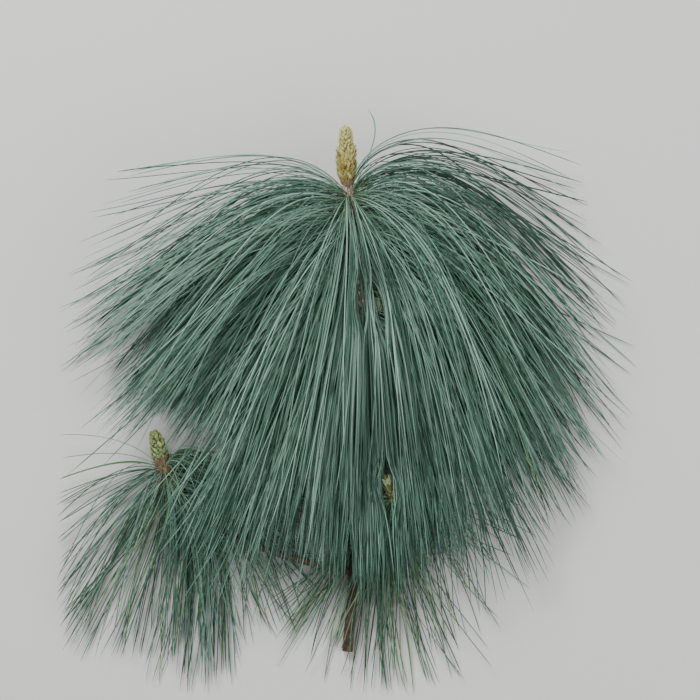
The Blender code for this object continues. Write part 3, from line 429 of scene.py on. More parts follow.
layers = {
    "sag": 0.030, "shelf": 0.0235, "shelfStart": 0.105, "shelfFull": 0.150, "shelfRight": (0.095, 0.150),
    "shelfLeft": (0.170, 0.200), "bedFall": 0.62, "bedReach": 0.150, "softness": 0.005, "underLeft": 0.132, "underRight": 0.163,
    "tuftSag": 0.008, "lowest": 0.0008, "loft": 0.0045,
    # where the needles sink round the right candle and the bud: middle, reach, height there and how fully
    "dips": (((0.0226, -0.1680), 0.027, 0.0080, 0.85), ((0.0150, -0.0640), 0.020, 0.0290, 0.85)),
}
# openings through which stem, bud and candles show: two ends, half width, share of needles that part
# there, how far past each end they close again, the share left out of those that would cross, and how
# near the middle line needles aren't parted, because they end there
openings = (
    ((0.0062, -0.0309), (0.0014, -0.0030), 0.0014, 0.70, (0.014, 0.008), 0.30, 0.0),
    ((0.0085, -0.0690), (0.0080, -0.0600), 0.0033, 0.965, (0.0085, 0.0075), 0.88, 0.0),
    ((0.0183, -0.0710), (0.0166, -0.0615), 0.0031, 0.93, (0.010, 0.009), 0.78, 0.0),
    ((0.0252, -0.1770), (0.0214, -0.1672), 0.0039, 0.98, (0.012, 0.0050), 0.85, 0.0),
    ((0.0014, -0.2330), (0.0010, -0.2130), 0.0026, 0.85, (0.022, 0.016), 0.30, 0.0),
)
# leader's needles end short of the side candles and of the hooked needles by the left one: two ends, half width
# and the share of the needles that end there
clearings = (
    ((-0.1062, -0.1600), (-0.1119, -0.1389), 0.0050, 0.95),
    ((-0.0990, -0.1500), (-0.0850, -0.1530), 0.0085, 0.80),
)
# one needle of the right arch stands up and hooks over at its end
hookedNeedle = ((0.0030, -0.0020), (0.0125, 0.0190), (0.0215, 0.0330), (0.0118, 0.0448))


def needleMaterials():
    made = []
    for number, (outer, inner) in enumerate(needleLook["shades"]):
        made.append(newMaterial(f"needleOuter{number}", outer, needleLook["roughness"], 0.30))
        made.append(newMaterial(f"needleInner{number}", inner, needleLook["roughness"] + 0.12, 0.22))
    outer, inner = needleLook["rootShade"]
    made.append(newMaterial("needleRootOuter", outer, needleLook["roughness"], 0.4))
    made.append(newMaterial("needleRootInner", inner, needleLook["roughness"] + 0.1, 0.4))
    outer, inner = needleLook["freshShade"]
    made.append(newMaterial("needleFreshOuter", outer, needleLook["roughness"], 0.3))
    made.append(newMaterial("needleFreshInner", inner, needleLook["roughness"] + 0.1, 0.25))
    made.append(newMaterial("needleTip", needleLook["tipShade"], 0.6, 0.3))
    return made


def bundleRows(spec):
    # One row for each needle. Bundles stand in a golden spiral over the span; their launch angle runs
    # with their rank between the rules for the sides and for the front. The needles of one bundle
    # start together and part by a few degrees.
    dice = np.random.default_rng(spec["seed"])
    count, five = spec["bundles"], needleLook["bundle"]
    numbers = np.arange(count)
    rank = ((numbers + 0.5) / count) ** spec["crowding"]
    turn = 2.0 * ((numbers * goldenTurn) % spec["span"]) / spec["span"] - 1.0
    if spec["span"] < 2.0 * math.pi:
        turn = np.sign(turn) * np.abs(turn) ** fountainRule["frontPower"]
    azimuth = spec["start"] + 0.5 * spec["span"] * (1.0 + turn)
    sideAngle = spec["side"][0] + (spec["side"][1] - spec["side"][0]) * rank ** fountainRule["sidePower"]
    frontAngle = spec["front"][0] + (spec["front"][1] - spec["front"][0]) * rank
    launch = sideAngle + (frontAngle - sideAngle) * (1.0 - np.abs(np.cos(azimuth)))
    flatter = rampUp(-np.cos(azimuth), 0.0, 0.5) * (1.0 - rank) ** 2
    launch = launch + dice.normal(0.0, 6.0, count) + spec["leftFlat"][0] * flatter
    wide = (180.0 - np.clip(launch, *fountainRule["launchRange"])) / (180.0 - fountainRule["steepest"])
    openAngle = fountainRule["widestFinal"] * wide ** fountainRule["openPower"] + dice.normal(0.0, 6.0, count)
    openAngle = openAngle * (1.0 - spec["lopsided"] * np.cos(azimuth)) * spec["open"] + spec["leftFlat"][1] * flatter
    arc = rampUp(launch, *fountainRule["arcRange"])
    length = spec["length"] * (fountainRule["shortestArc"] + (1.0 - fountainRule["shortestArc"]) * arc)
    length = length * (1.0 + dice.normal(0.0, 0.05, count))
    length = length * np.where(dice.random(count) < spec["short"], dice.uniform(0.30, 0.60, count), 1.0)
    hooked = numbers < spec.get("hooks", 0)
    azimuth = np.where(hooked, 0.9 * np.sin(2.4 * numbers), azimuth)
    length = np.where(hooked, dice.uniform(0.045, 0.070, count), length)
    launch = np.where(hooked, dice.uniform(12.0, 45.0, count), launch)
    openAngle = np.where(hooked, dice.uniform(-12.0, 30.0, count), openAngle)
    place = spec["zoneStart"] + (spec["zone"] - spec["zoneStart"]) * rank ** fountainRule["zonePower"]
    place = np.maximum(place, fountainRule["bareFront"] * np.sin(azimuth))
    facing = (np.sin(azimuth) > 0.45) & (spec["zone"] > fountainRule["frontZone"])
    place = np.where(facing, np.minimum(place, fountainRule["frontZone"] * dice.uniform(0.9, 1.0, count)), place)
    rows = {"rank": rank, "azimuth": azimuth, "launch": launch, "openAngle": openAngle, "length": length,
            "place": place, "bundle": numbers, "loft": layers["loft"] * (1.0 - 0.7 * rank)}
    rows["tone"] = dice.random(count)
    rows["tone"] = np.where(hooked, 0.55 + 0.45 * rows["tone"], rows["tone"])
    # painted shade: lighter needles lie higher, so the darker ones lie beneath, as if in the shade of those above
    rows["loft"] += 0.0026 * rows["tone"]
    rows = {key: np.repeat(value, five) for key, value in rows.items()}
    total = count * five
    loose = spec["loose"]
    rows["lean"] = rows["azimuth"] + np.radians(dice.normal(0.0, 14.0 * loose, total))
    rows["launch"] = np.clip(rows["launch"] + dice.normal(0.0, 8.5 * loose, total), *fountainRule["launchRange"])
    rows["launch"] = np.maximum(rows["launch"], fountainRule["leastFront"] * (1.0 - np.abs(np.cos(rows["lean"]))))
    rows["final"] = 180.0 - np.clip(rows["openAngle"] + dice.normal(0.0, 5.4 * loose, total), -14.0,
                                    fountainRule["mostFinal"] * spec["open"])
    rows["length"] = rows["length"] * (1.0 + dice.normal(0.0, 0.03, total))
    rows["loft"] = rows["loft"] + dice.uniform(0.0, 0.0010, total)
    rows["wave"] = dice.normal(0.0, loose, (total, 3))
    rows["fresh"] = dice.random(total) < spec["fresh"]
    rows["width"] = np.full(total, spec["width"])
    return rows


def fountainPaths(rows, line, lineLength, radius, flattening):
    # Each needle starts on the stem at its azimuth, leaves it at its launch angle from the tip's
    # direction, and turns to its final angle, fastest at first; the way is summed from its headings.
    # A slow wave of a degree or two keeps the long needles from running parallel.
    places, sideways, up = squareFrame(line, rows["place"] / lineLength)
    azimuth = rows["lean"]
    spoke = sideways * np.cos(azimuth)[:, None] + up * np.sin(azimuth)[:, None]
    roots = places + radius[:, None] * spoke
    outward = (sideways * np.cos(azimuth)[:, None] + up * (flattening * np.sin(azimuth))[:, None])[:, None, :]
    ahead = np.cross(up, sideways)[:, None, :]
    share = np.linspace(0.0, 1.0, fountainRule["steps"])
    tilt = fountainRule["droopTilt"]
    hanging = rampUp(share, 0.0, 0.5)[None, :, None]
    axis = ahead + (np.array([0.0, math.cos(tilt), math.sin(tilt)]) - ahead) * hanging
    launch, final, wave = rows["launch"][:, None], rows["final"][:, None], rows["wave"]
    angle = final - (final - launch) * (1.0 - share) ** fountainRule["bendPower"]
    angle = np.radians(angle + 3.0 * wave[:, :1] * share * np.sin(3.2 * share + 3.0 * wave[:, 1:2]))
    heading = unit(np.sin(angle)[..., None] * outward + np.cos(angle)[..., None] * axis)
    drift = np.radians(3.0 * wave[:, 2:]) * share * share
    heading[..., 0] += drift
    stride = (rows["length"] / (fountainRule["steps"] - 1))[:, None, None]
    travelled = np.cumsum(0.5 * (heading[:, 1:] + heading[:, :-1]) * stride, axis=1)
    path = np.concatenate([np.zeros((len(azimuth), 1, 3)), travelled], axis=1)
    return path + roots[:, None, :], share


def lyingHeight(path, share, under, loft):
    # A needle's height once the branch lies down: its end sags, the upper ones rest on the bed of
    # needles and over the stem, and further down on the side shoots; the under ones stay beneath.
    x, y, z = path[..., 0], path[..., 1], path[..., 2]
    stemShare = np.clip(-y / leader["length"], 0.0, 1.0)
    stem = leaderLine(stemShare)
    spread = rampUp(np.abs(x - 0.5 * leader["bow"]), 0.0, layers["bedReach"])
    bed = stem[..., 2] * (1.0 - layers["bedFall"] * spread)
    shelf = layers["shelf"] * rampUp(-y, layers["shelfStart"], layers["shelfFull"])
    shelf = shelf * (1.0 - rampUp(x, *layers["shelfRight"])) * (1.0 - rampUp(-x, *layers["shelfLeft"]))
    overStem = (leaderRadius(stemShare) + 0.0008) * np.exp(-((x - stem[..., 0]) / 0.0045) ** 2)
    sunk = z - layers["sag"] * share ** 2
    support = np.maximum(bed + overStem, shelf)
    for (dipX, dipY), reach, low, fully in layers["dips"]:
        sinking = fully * np.exp(-((x - dipX) ** 2 + (y - dipY) ** 2) / reach ** 2)
        support = support + (low - support) * sinking
        sunk = sunk + (np.minimum(sunk, low) - sunk) * sinking
        loft = loft * (1.0 - 0.5 * sinking)
    upper = softMax(sunk, support + loft, layers["softness"])
    floor = layers["lowest"] + 0.3 * loft
    lower = softMax(softMin(sunk, bed - overStem - loft, layers["softness"]), floor, 0.6 * layers["softness"])
    shaped = softMin(np.where(under, lower, upper), solidBox[1][2] - 0.0010, 0.003)
    return np.maximum(z + (shaped - z) * rampUp(share, 0.0, 0.10), layers["lowest"])


def tuftHeight(path, share, rising, loft):
    # a side shoot's needles keep under the leader's and above the floor, over or under nearby stems
    x, y, z = path[..., 0], path[..., 1], path[..., 2]
    shaped = z - layers["tuftSag"] * share ** 2
    limbs = [(leaderLine, leader["cutRadius"])]
    limbs += [(line, shootSizes["footRadius"]) for line, _ in shootLines.values()]
    for line, radius in limbs:
        middle = line(np.linspace(0.0, 1.0, 60))
        away = np.hypot(x[..., None] - middle[:, 0], y[..., None] - middle[:, 1])
        nearness = np.exp(-(away.min(axis=-1) / 0.006) ** 2)
        height = middle[away.argmin(axis=-1), 2]
        over = softMax(shaped, height + radius + 0.0008 + loft, 0.0025)
        beneath = softMin(shaped, height - radius - 0.0008, 0.0025)
        shaped = shaped + (np.where(rising, over, beneath) - shaped) * nearness
    shaped = softMin(shaped, layers["shelf"] - 0.0010 - 0.5 * loft, 0.0025)
    shaped = softMax(shaped, layers["lowest"] + 0.5 * loft, 0.0020)
    return np.maximum(z + (shaped - z) * rampUp(share, 0.0, 0.12), layers["lowest"])


def withinReach(path, seed, under):
    # the share of each needle that stays inside the solids' outline, a little less for some
    dice = np.random.default_rng(seed)
    low, high = (np.array(corner) for corner in solidBox)
    room = 0.022 * (high - low)
    place = path + branchPlace
    inside = ((place > low - room) & (place < high + room))[..., :2].all(axis=-1)
    if under:
        inside &= path[..., 1] > -np.where(path[..., 0] > -0.055, layers["underRight"], layers["underLeft"])
    steps = inside.shape[1]
    last = np.where(inside.all(axis=1), steps, np.argmin(inside, axis=1)) / steps
    return np.where(last < 1.0, last * (1.0 - 0.06 * dice.random(len(path))), 1.0)


def partedAt(path, seed):
    # Needles part round each opening: each moves away from its middle line, to the side on which it
    # passes the middle, by half width * exp(-(distance / 1.5 half widths)^2), easing off past the ends
    dice = np.random.default_rng(seed)
    path, keep = path.copy(), np.ones(len(path), dtype=bool)
    rooted = rampUp(np.linspace(0.0, 1.0, path.shape[1]), 0.0, 0.04)
    for start, end, halfWidth, share, closing, clears, ending in openings:
        start, end = np.array(start), np.array(end)
        long = np.linalg.norm(end - start)
        way = (end - start) / long
        square = np.array([-way[1], way[0]])
        offset = path[..., :2] - start
        along, beside = offset @ way, offset @ square
        slower = dice.uniform(0.75, 1.45, len(path))[:, None]
        past = np.maximum(np.maximum(-along / closing[0], (along - long) / closing[1]) / slower, 0.0)
        window = np.exp(-past ** 2) * rooted
        nearest = np.abs(along - 0.5 * long).argmin(axis=1)[:, None]
        distance = np.take_along_axis(beside, nearest, axis=1)
        passing = np.sign(distance) * (np.abs(distance) >= ending)
        across = ((past == 0.0) & (beside * passing < 0.0) & (np.abs(beside) < 4.0 * halfWidth)).any(axis=1)
        keep &= ~(across & (dice.random(len(path)) < clears))
        parting = ((dice.random(len(path)) < share) * dice.uniform(0.80, 1.30, len(path)))[:, None]
        near = np.exp(-(beside / (fountainRule["partingFall"] * halfWidth)) ** 2)
        step = passing * parting * halfWidth * window * near
        path[..., :2] += step[..., None] * square
    return path, keep


def shortOfCandle(path, reach, seed):
    # how far needles reach before the clearings at the left candle
    dice = np.random.default_rng(seed)
    for start, end, halfWidth, share in clearings:
        start, end = np.array(start), np.array(end)
        way = end - start
        offset = path[..., :2] - start
        along = np.clip((offset @ way) / (way @ way), 0.0, 1.0)
        away = np.linalg.norm(offset - along[..., None] * way, axis=-1)
        over = away < halfWidth * (0.75 + 0.5 * dice.random(len(path))[:, None])
        stops = over.any(axis=1) & (dice.random(len(path)) < share)
        first = np.argmax(over, axis=1) / away.shape[1]
        reach = np.minimum(reach, np.where(stops, first - 0.03 * dice.random(len(path)), 1.0))
    return reach


def needlePiece(name, path, reach, tone, fresh, width, materials, node, seed):
    # Each needle is a slim three-sided blade: rings of three corners in the plane square to its path,
    # turned by its own angle and a slow twist, narrowing to a point. Colours go by needle and side, with painted shade
    # darkening them towards the bottom and the right.
    dice = np.random.default_rng(seed)
    count, rings = len(path), needleLook["rings"]
    share = (np.arange(rings) / (rings - 1.0)) ** needleLook["ringPower"]
    place = share * reach[:, None] * (fountainRule["steps"] - 1)
    low = np.minimum(place.astype(int), fountainRule["steps"] - 2)
    part = (place - low)[..., None]
    row = np.arange(count)[:, None]
    middle = path[row, low] * (1.0 - part) + path[row, low + 1] * part
    heading = unit(path[row, low + 1] - path[row, low])
    side = unit(np.cross(heading, np.array([0.0, 0.0, 1.0])))
    above = np.cross(side, heading)
    corners = np.array([(-0.50, -0.20), (0.50, -0.20), (0.0, 0.42)])
    outline = np.array(needleLook["profile"])
    wide = np.interp(share, outline[:, 0], outline[:, 1]) * (width * (1.0 + dice.normal(0.0, 0.08, count)))[:, None]
    turn = dice.uniform(0.0, 2.0 * np.pi, count)[:, None] + dice.normal(0.0, 1.2, count)[:, None] * share
    cosine, sine = np.cos(turn)[..., None], np.sin(turn)[..., None]
    across = corners[:, 0] * cosine - corners[:, 1] * sine
    over = corners[:, 0] * sine + corners[:, 1] * cosine
    points = middle[:, :, None] + wide[..., None, None] * (across[..., None] * side[:, :, None]
                                                           + over[..., None] * above[:, :, None])
    tips = middle[:, -1] + heading[:, -1] * width[:, None] * 0.9
    points = np.concatenate([points.reshape(count, rings * 3, 3), tips[:, None]], axis=1)
    ring, corner = np.meshgrid(np.arange(rings - 1), np.arange(3), indexing="ij")
    here, beside = ring * 3 + corner, ring * 3 + (corner + 1) % 3
    quads = np.stack([here, beside, beside + 3, here + 3], axis=-1).reshape(-1, 4)
    ends = np.array([[rings * 3 - 3 + c, rings * 3 - 3 + (c + 1) % 3, rings * 3] for c in range(3)])
    starts = np.array([[2, 1, 0]])
    step = (np.arange(count) * (rings * 3 + 1))[:, None, None]
    faceSets = [(faces[None] + step).reshape(-1, faces.shape[1]) for faces in (quads, ends, starts)]
    shades = len(needleLook["shades"])
    # painted shade: needles get darker shades towards the bottom, towards the right and most at the lower right
    paintedDarkening = needleLook["paintedShadeFall"] * rampUp(-middle[..., 1], *needleLook["fallRange"])
    paintedDarkening += needleLook["rightFall"] * rampUp(middle[..., 0], *needleLook["rightRange"])
    paintedDarkening += (needleLook["paintedShadeLowRight"] * rampUp(-middle[..., 1], *needleLook["lowRange"])
               * rampUp(middle[..., 0], *needleLook["lowRightRange"]))
    light = (tone + dice.normal(0.0, needleLook["toneScatter"], count))[:, None] - paintedDarkening
    shade = (np.clip(light, 0.0, 0.999) * shades).astype(int)
    shade = 2 * np.where(fresh[:, None], shades + 1, shade)
    sides = np.array([0, 1, 1])
    greenEnd = needleLook["rootShare"] * dice.uniform(0.5, 2.6, count)[:, None]
    nearRoot = np.repeat(share[None, :-1] < greenEnd, 3, axis=1)
    quadShade = np.repeat(shade[:, :-1], 3, axis=1) + np.tile(sides, rings - 1)
    quadShade = np.where(nearRoot, 2 * shades + np.tile(sides, rings - 1), quadShade)
    brown = (dice.random(count) < 0.25)[:, None]
    endShade = np.where(brown, 2 * shades + 4, shade[:, -1:] + sides[None, :])
    faceShades = np.concatenate([quadShade.ravel(), endShade.ravel(), np.full(count, 2 * shades)])
    mesh = meshFromArrays(name, points, faceSets, materials, faceShades)
    return addPiece(name, mesh, "needles", [node], 40.0)


print("needles")
needleSet = needleMaterials()
grown = {}
for name in ("upper", "under", "left", "right"):
    spec = fountains[name]
    rows = bundleRows(spec)
    if name in shootLines:
        line, length = shootLines[name]
        lineLength = 2.0 * math.dist(line(0.0), line(0.5))
        radius = np.full(len(rows["rank"]), shootSizes["radius"] + 0.0001)
        path, share = fountainPaths(rows, line, lineLength, radius, spec["flattening"])
        path[..., 2] = tuftHeight(path, share, np.sin(rows["azimuth"])[:, None] > 0.0, rows["loft"][:, None] * 0.6)
        rows["tone"] = 0.36 + 0.75 * rows["tone"]
    else:
        radius = leaderRadius(rows["place"] / leader["length"]) + 0.0002
        path, share = fountainPaths(rows, leaderLine, leader["length"], radius, spec["flattening"])
        parted = np.ones(len(path), dtype=bool)
        if name == "upper":
            path, parted = partedAt(path, 31)
        path[..., 2] = lyingHeight(path, share, name == "under", rows["loft"][:, None])
        # painted shade: the under needles are dealt darker shades than the upper ones, darkest at the sides, for the
        # shade beneath the upper layer
        lightness = 0.22 - 0.34 * np.abs(np.cos(rows["azimuth"])) if name == "under" else 0.27
        rows["tone"] = lightness + (0.55 + 0.2 * (name == "upper")) * rows["tone"]
    if name == "upper":
        along = share[:, None]
        ends = np.array(hookedNeedle)
        path[0, :, :2] = ((1 - along) ** 3 * ends[0] + 3 * along * (1 - along) ** 2 * ends[1]
                          + 3 * along ** 2 * (1 - along) * ends[2] + along ** 3 * ends[3])
        path[0, :, 2] = leaderLine(0.0)[2] + 0.006 * share
        rows["tone"][0] = 0.7
        rows["width"][0] *= 1.5
    rows["reach"] = withinReach(path, 30, name == "under")
    rows["keep"] = rows["reach"] > 0.3
    if name == "upper":
        rows["reach"] = shortOfCandle(path, rows["reach"], 32)
        rows["keep"] = parted & (rows["reach"] > 0.45)
    grown[name] = (path, rows)

# pieces: which fountain, azimuths in degrees, stretch of the needle zone, and the node it stands for
masses = {
    "rightArch": ("upper", (0.0, 90.0), (0.0, 0.30), "needles_right_arch"),
    "leftArch": ("upper", (90.0, 180.0), (0.0, 0.30), "needles_left_arch"),
    "rightFall": ("upper", (0.0, 90.0), (0.30, 0.62), "needles_right_fall"),
    "leftFall": ("upper", (90.0, 180.0), (0.30, 0.62), "needles_left_fall"),
    "rightCurtain": ("upper", (0.0, 90.0), (0.62, 1.0), "needles_right_curtain"),
    "leftCurtain": ("upper", (90.0, 180.0), (0.62, 1.0), "needles_left_curtain"),
    "underLeft": ("under", (180.0, 270.0), (0.0, 1.0), "needles_under_left"),
    "underRight": ("under", (270.0, 360.0), (0.0, 1.0), "needles_under_right"),
    "leftTuftOuter": ("left", (90.0, 270.0), (0.0, 1.0), "left_tuft_outer"),
    "leftTuftInner": ("left", (-90.0, 90.0), (0.0, 1.0), "left_tuft_inner"),
    "rightTuftOuter": ("right", (90.0, 270.0), (0.0, 1.0), "right_tuft_outer"),
    "rightTuftInner": ("right", (-90.0, 90.0), (0.0, 1.0), "right_tuft_inner"),
}
needleTotal = 0
for number, (name, (source, sector, stretch, node)) in enumerate(masses.items()):
    path, rows = grown[source]
    degrees = (np.degrees(rows["azimuth"]) - sector[0]) % 360.0
    inside = (degrees < sector[1] - sector[0]) & (rows["rank"] >= stretch[0]) & (rows["rank"] < stretch[1])
    inside &= rows["keep"]
    needlePiece(f"{name}Needles", path[inside], rows["reach"][inside], rows["tone"][inside], rows["fresh"][inside],
                rows["width"][inside], needleSet, node, 40 + number)
    needleTotal += int(inside.sum())
    print(name, int(inside.sum()))
print("needles in all", needleTotal)


# Candles, bracts and bundle feet

scaleLook = {
    # linear base colours, the darker foot and the paler point of each scale
    "cream": (0.570, 0.585, 0.245), "straw": (0.455, 0.410, 0.145), "gold": (0.365, 0.280, 0.080),
    "ochre": (0.270, 0.170, 0.060), "amber": (0.230, 0.135, 0.050), "tan": (0.280, 0.215, 0.120),
    "rose": (0.250, 0.175, 0.130), "brown": (0.140, 0.082, 0.052), "lime": (0.330, 0.420, 0.175),
    "leafy": (0.205, 0.275, 0.090), "moss": (0.105, 0.140, 0.045), "green": (0.150, 0.265, 0.095),
    "mint": (0.300, 0.400, 0.200), "olive": (0.150, 0.140, 0.062), "blush": (0.700, 0.570, 0.490),
    "stalk": (0.215, 0.365, 0.165), "sprout": (0.410, 0.560, 0.330),
    "roughness": 0.55,
}
scaleMaterials = {}


def scaleMaterial(name):
    # a mottled colour, darker in fine streaks, with a fine bump
    if name not in scaleMaterials:
        made = newMaterial(f"scale{name[0].upper()}{name[1:]}", scaleLook[name], scaleLook["roughness"], 0.35)
        links = made.node_tree.links
        shader = made.node_tree.nodes["Principled BSDF"]
        place = addNode(made, "ShaderNodeTexCoord")
        stretch = addNode(made, "ShaderNodeMapping", inputs={"Scale": (1.0, 0.3, 1.0)})
        links.new(place.outputs["Object"], stretch.inputs["Vector"])
        noise = addNode(made, "ShaderNodeTexNoise", inputs={"Scale": 2200.0, "Detail": 3.0, "Roughness": 0.6})
        links.new(stretch.outputs[0], noise.inputs["Vector"])
        dark = tuple(0.66 * c for c in scaleLook[name])
        light = tuple(min(1.15 * c, 1.0) for c in scaleLook[name])
        mottle = colourRamp(made, ((0.34, dark), (0.58, light)))
        links.new(noise.outputs["Fac"], mottle.inputs["Fac"])
        links.new(mottle.outputs["Color"], shader.inputs["Base Color"])
        bump = addNode(made, "ShaderNodeBump", inputs={"Strength": 0.35, "Distance": 0.0002})
        links.new(noise.outputs["Fac"], bump.inputs["Height"])
        links.new(bump.outputs["Normal"], shader.inputs["Normal"])
        scaleMaterials[name] = made
    return scaleMaterials[name]


def spindles(name, root, along, out, length, width, lean, bulge, colours, pair, slot):
    # Many small spindles at once: from its root each runs along its own direction and bends outwards
    # with the square of its length, six-sided, as wide as the bulge says. The first half of its rings
    # has the darker colour of its pair, the rest the paler one.
    sides = 6
    bulge = np.array(bulge)
    t, factor = bulge[:, 0], bulge[:, 1]
    rings = len(t)
    beside = unit(np.cross(along, out))
    forward = length[:, None] * t
    middle = root[:, None] + forward[..., None] * along[:, None] + (forward * t * lean[:, None])[..., None] * out[:, None]
    turn = np.linspace(0.0, 2.0 * np.pi, sides, endpoint=False)
    ring = beside[:, None] * np.cos(turn)[:, None] + 0.7 * out[:, None] * np.sin(turn)[:, None]
    half = 0.5 * width[:, None] * factor
    points = middle[:, :, None] + half[..., None, None] * ring[:, None]
    finish = middle[:, -1] + (middle[:, -1] - middle[:, -2]) * 0.15
    points = np.concatenate([points.reshape(len(root), rings * sides, 3), middle[:, :1], finish[:, None]], axis=1)
    step = (np.arange(len(root)) * (rings * sides + 2))[:, None, None]
    quads, startFan, endFan = tubeFaces(rings, sides)
    faceSets = [(faces[None] + step).reshape(-1, faces.shape[1]) for faces in (quads, startFan, endFan)]
    paler = np.repeat(np.arange(rings - 1) >= (rings - 1) // 2, sides)
    shades = [2 * pair[:, None] + paler, np.repeat(2 * pair, sides), np.repeat(2 * pair + 1, sides)]
    faceShades = np.concatenate([shade.ravel() for shade in shades])
    materials = [scaleMaterial(colour) for both in colours for colour in both]
    return addPiece(name, meshFromArrays(name, points, faceSets, materials, faceShades), slot, (), 60.0)


candleOutlines = {
    "leader": ((0.0, 0.46), (0.06, 0.61), (0.10, 0.73), (0.15, 0.84), (0.21, 0.93), (0.30, 0.98), (0.38, 1.0),
               (0.54, 0.97), (0.58, 0.90), (0.62, 0.73), (0.75, 0.71), (0.88, 0.63), (0.96, 0.46), (1.0, 0.05)),
    "left": ((0.0, 0.74), (0.10, 0.88), (0.25, 1.0), (0.45, 0.98), (0.68, 0.82), (0.88, 0.52), (0.97, 0.28),
             (1.0, 0.04)),
    "right": ((0.0, 0.62), (0.15, 0.85), (0.35, 1.0), (0.60, 0.95), (0.80, 0.74), (0.93, 0.46), (1.0, 0.10)),
    "shoot": ((0.0, 0.40), (0.12, 0.62), (0.30, 0.92), (0.45, 0.98), (0.68, 0.80), (0.88, 0.48), (0.97, 0.26),
              (1.0, 0.04)),
}
bluntBulge = ((0.0, 0.60), (0.25, 0.92), (0.60, 1.0), (0.84, 0.90), (0.95, 0.60), (1.0, 0.15))
scaleBulge = ((0.0, 0.55), (0.22, 0.86), (0.46, 1.0), (0.70, 0.88), (0.87, 0.52), (1.0, 0.10))
# zones of scales: stretch of the candle, count, length, width, least and most lean, colour pairs by number
candleSpecs = {
    "leader": {
        "node": "leader_candle", "tip": (-0.0011, 0.0360), "width": 0.0053, "outline": "leader", "slot": "candle",
        "bulge": scaleBulge, "core": 0.80,
        "body": ("amber", "gold"), "pairs": (("rose", "tan"), ("ochre", "gold"), ("gold", "straw"), ("gold", "cream"),
                                   ("straw", "cream")),
        "zones": (((0.02, 0.19), 64, 0.0030, 0.0014, (0.10, 0.36), (0, 0, 0, 1)),
                  ((0.13, 0.54), 176, 0.0032, 0.0018, (0.24, 0.68), (1, 2, 2, 3)),
                  ((0.52, 0.57), 16, 0.0037, 0.0021, (0.46, 0.82), (2, 3, 4)),
                  ((0.57, 0.89), 84, 0.0030, 0.0017, (0.24, 0.68), (4, 4, 3)),
                  ((0.89, 0.96), 16, 0.0022, 0.0017, (0.05, 0.25), (4,)))},
    "left": {
        "node": "left_candle", "width": 0.0047, "outline": "left", "slot": "young_candle", "body": ("moss", "moss"),
        "bulge": scaleBulge, "core": 0.80,
        "pairs": (("brown", "tan"), ("moss", "leafy"), ("moss", "lime"), ("leafy", "cream"), ("amber", "tan"),
                  ("brown", "rose")),
        "zones": (((-0.30, 0.08), 54, 0.0052, 0.0016, (0.10, 0.50), (0, 4, 4, 5)),
                  ((0.02, 0.22), 26, 0.0034, 0.0018, (0.15, 0.40), (0, 4, 1)),
                  ((0.16, 0.90), 82, 0.0032, 0.0020, (0.15, 0.42), (2, 2, 3)))},
    "right": {
        "node": "right_candle", "width": 0.0038, "outline": "right", "slot": "young_candle", "body": ("olive", "leafy"),
        "bulge": bluntBulge, "core": 0.55,
        "pairs": (("olive", "tan"), ("leafy", "mint"), ("olive", "leafy"), ("moss", "mint")),
        "zones": (((-0.40, 0.06), 18, 0.0038, 0.0016, (0.05, 0.22), (0, 2)),
                  ((0.16, 0.30), 10, 0.0106, 0.0020, (0.04, 0.16), (1, 1, 3)))},
    "bud": {
        "node": "side_bud", "width": 0.0020, "outline": "shoot", "slot": "young_candle", "body": ("green", "green"),
        "bulge": scaleBulge, "core": 0.80,
        "pairs": (("brown", "tan"), ("stalk", "sprout"), ("green", "sprout")),
        "zones": (((0.0, 0.18), 12, 0.0022, 0.0009, (0.05, 0.30), (0,)),
                  ((0.08, 0.60), 24, 0.0056, 0.0014, (0.08, 0.30), (1, 1, 2)))},
}


def candleBody(name, foot, tip, width, outline, materials, slot, node):
    # a spindle turned round the line from foot to tip, a little slimmer than its scales' outline
    sides, rings = 24, 40
    share = np.linspace(-0.03, 1.0, rings)
    outline = np.array(outline)
    radius = width * np.interp(share, outline[:, 0], outline[:, 1])
    axis = unit(tip - foot)
    across = unit(np.cross(axis, np.array([0.0, 0.0, 1.0])))
    over = np.cross(across, axis)
    turn = np.linspace(0.0, 2.0 * np.pi, sides, endpoint=False)
    ring = across * np.cos(turn)[:, None] + over * np.sin(turn)[:, None]
    points = foot + (tip - foot) * 0.955 * share[:, None, None] + radius[:, None, None] * ring
    ends = np.stack([points[0].mean(axis=0), points[-1].mean(axis=0)])
    upper = np.repeat(share[:-1] > 0.55, sides)
    faceShades = np.concatenate([upper, np.zeros(sides), np.ones(sides)])
    mesh = meshFromArrays(name, np.concatenate([points.reshape(-1, 3), ends]), tubeFaces(rings, sides), materials,
                          faceShades)
    return addPiece(name, mesh, slot, [node], 60.0)


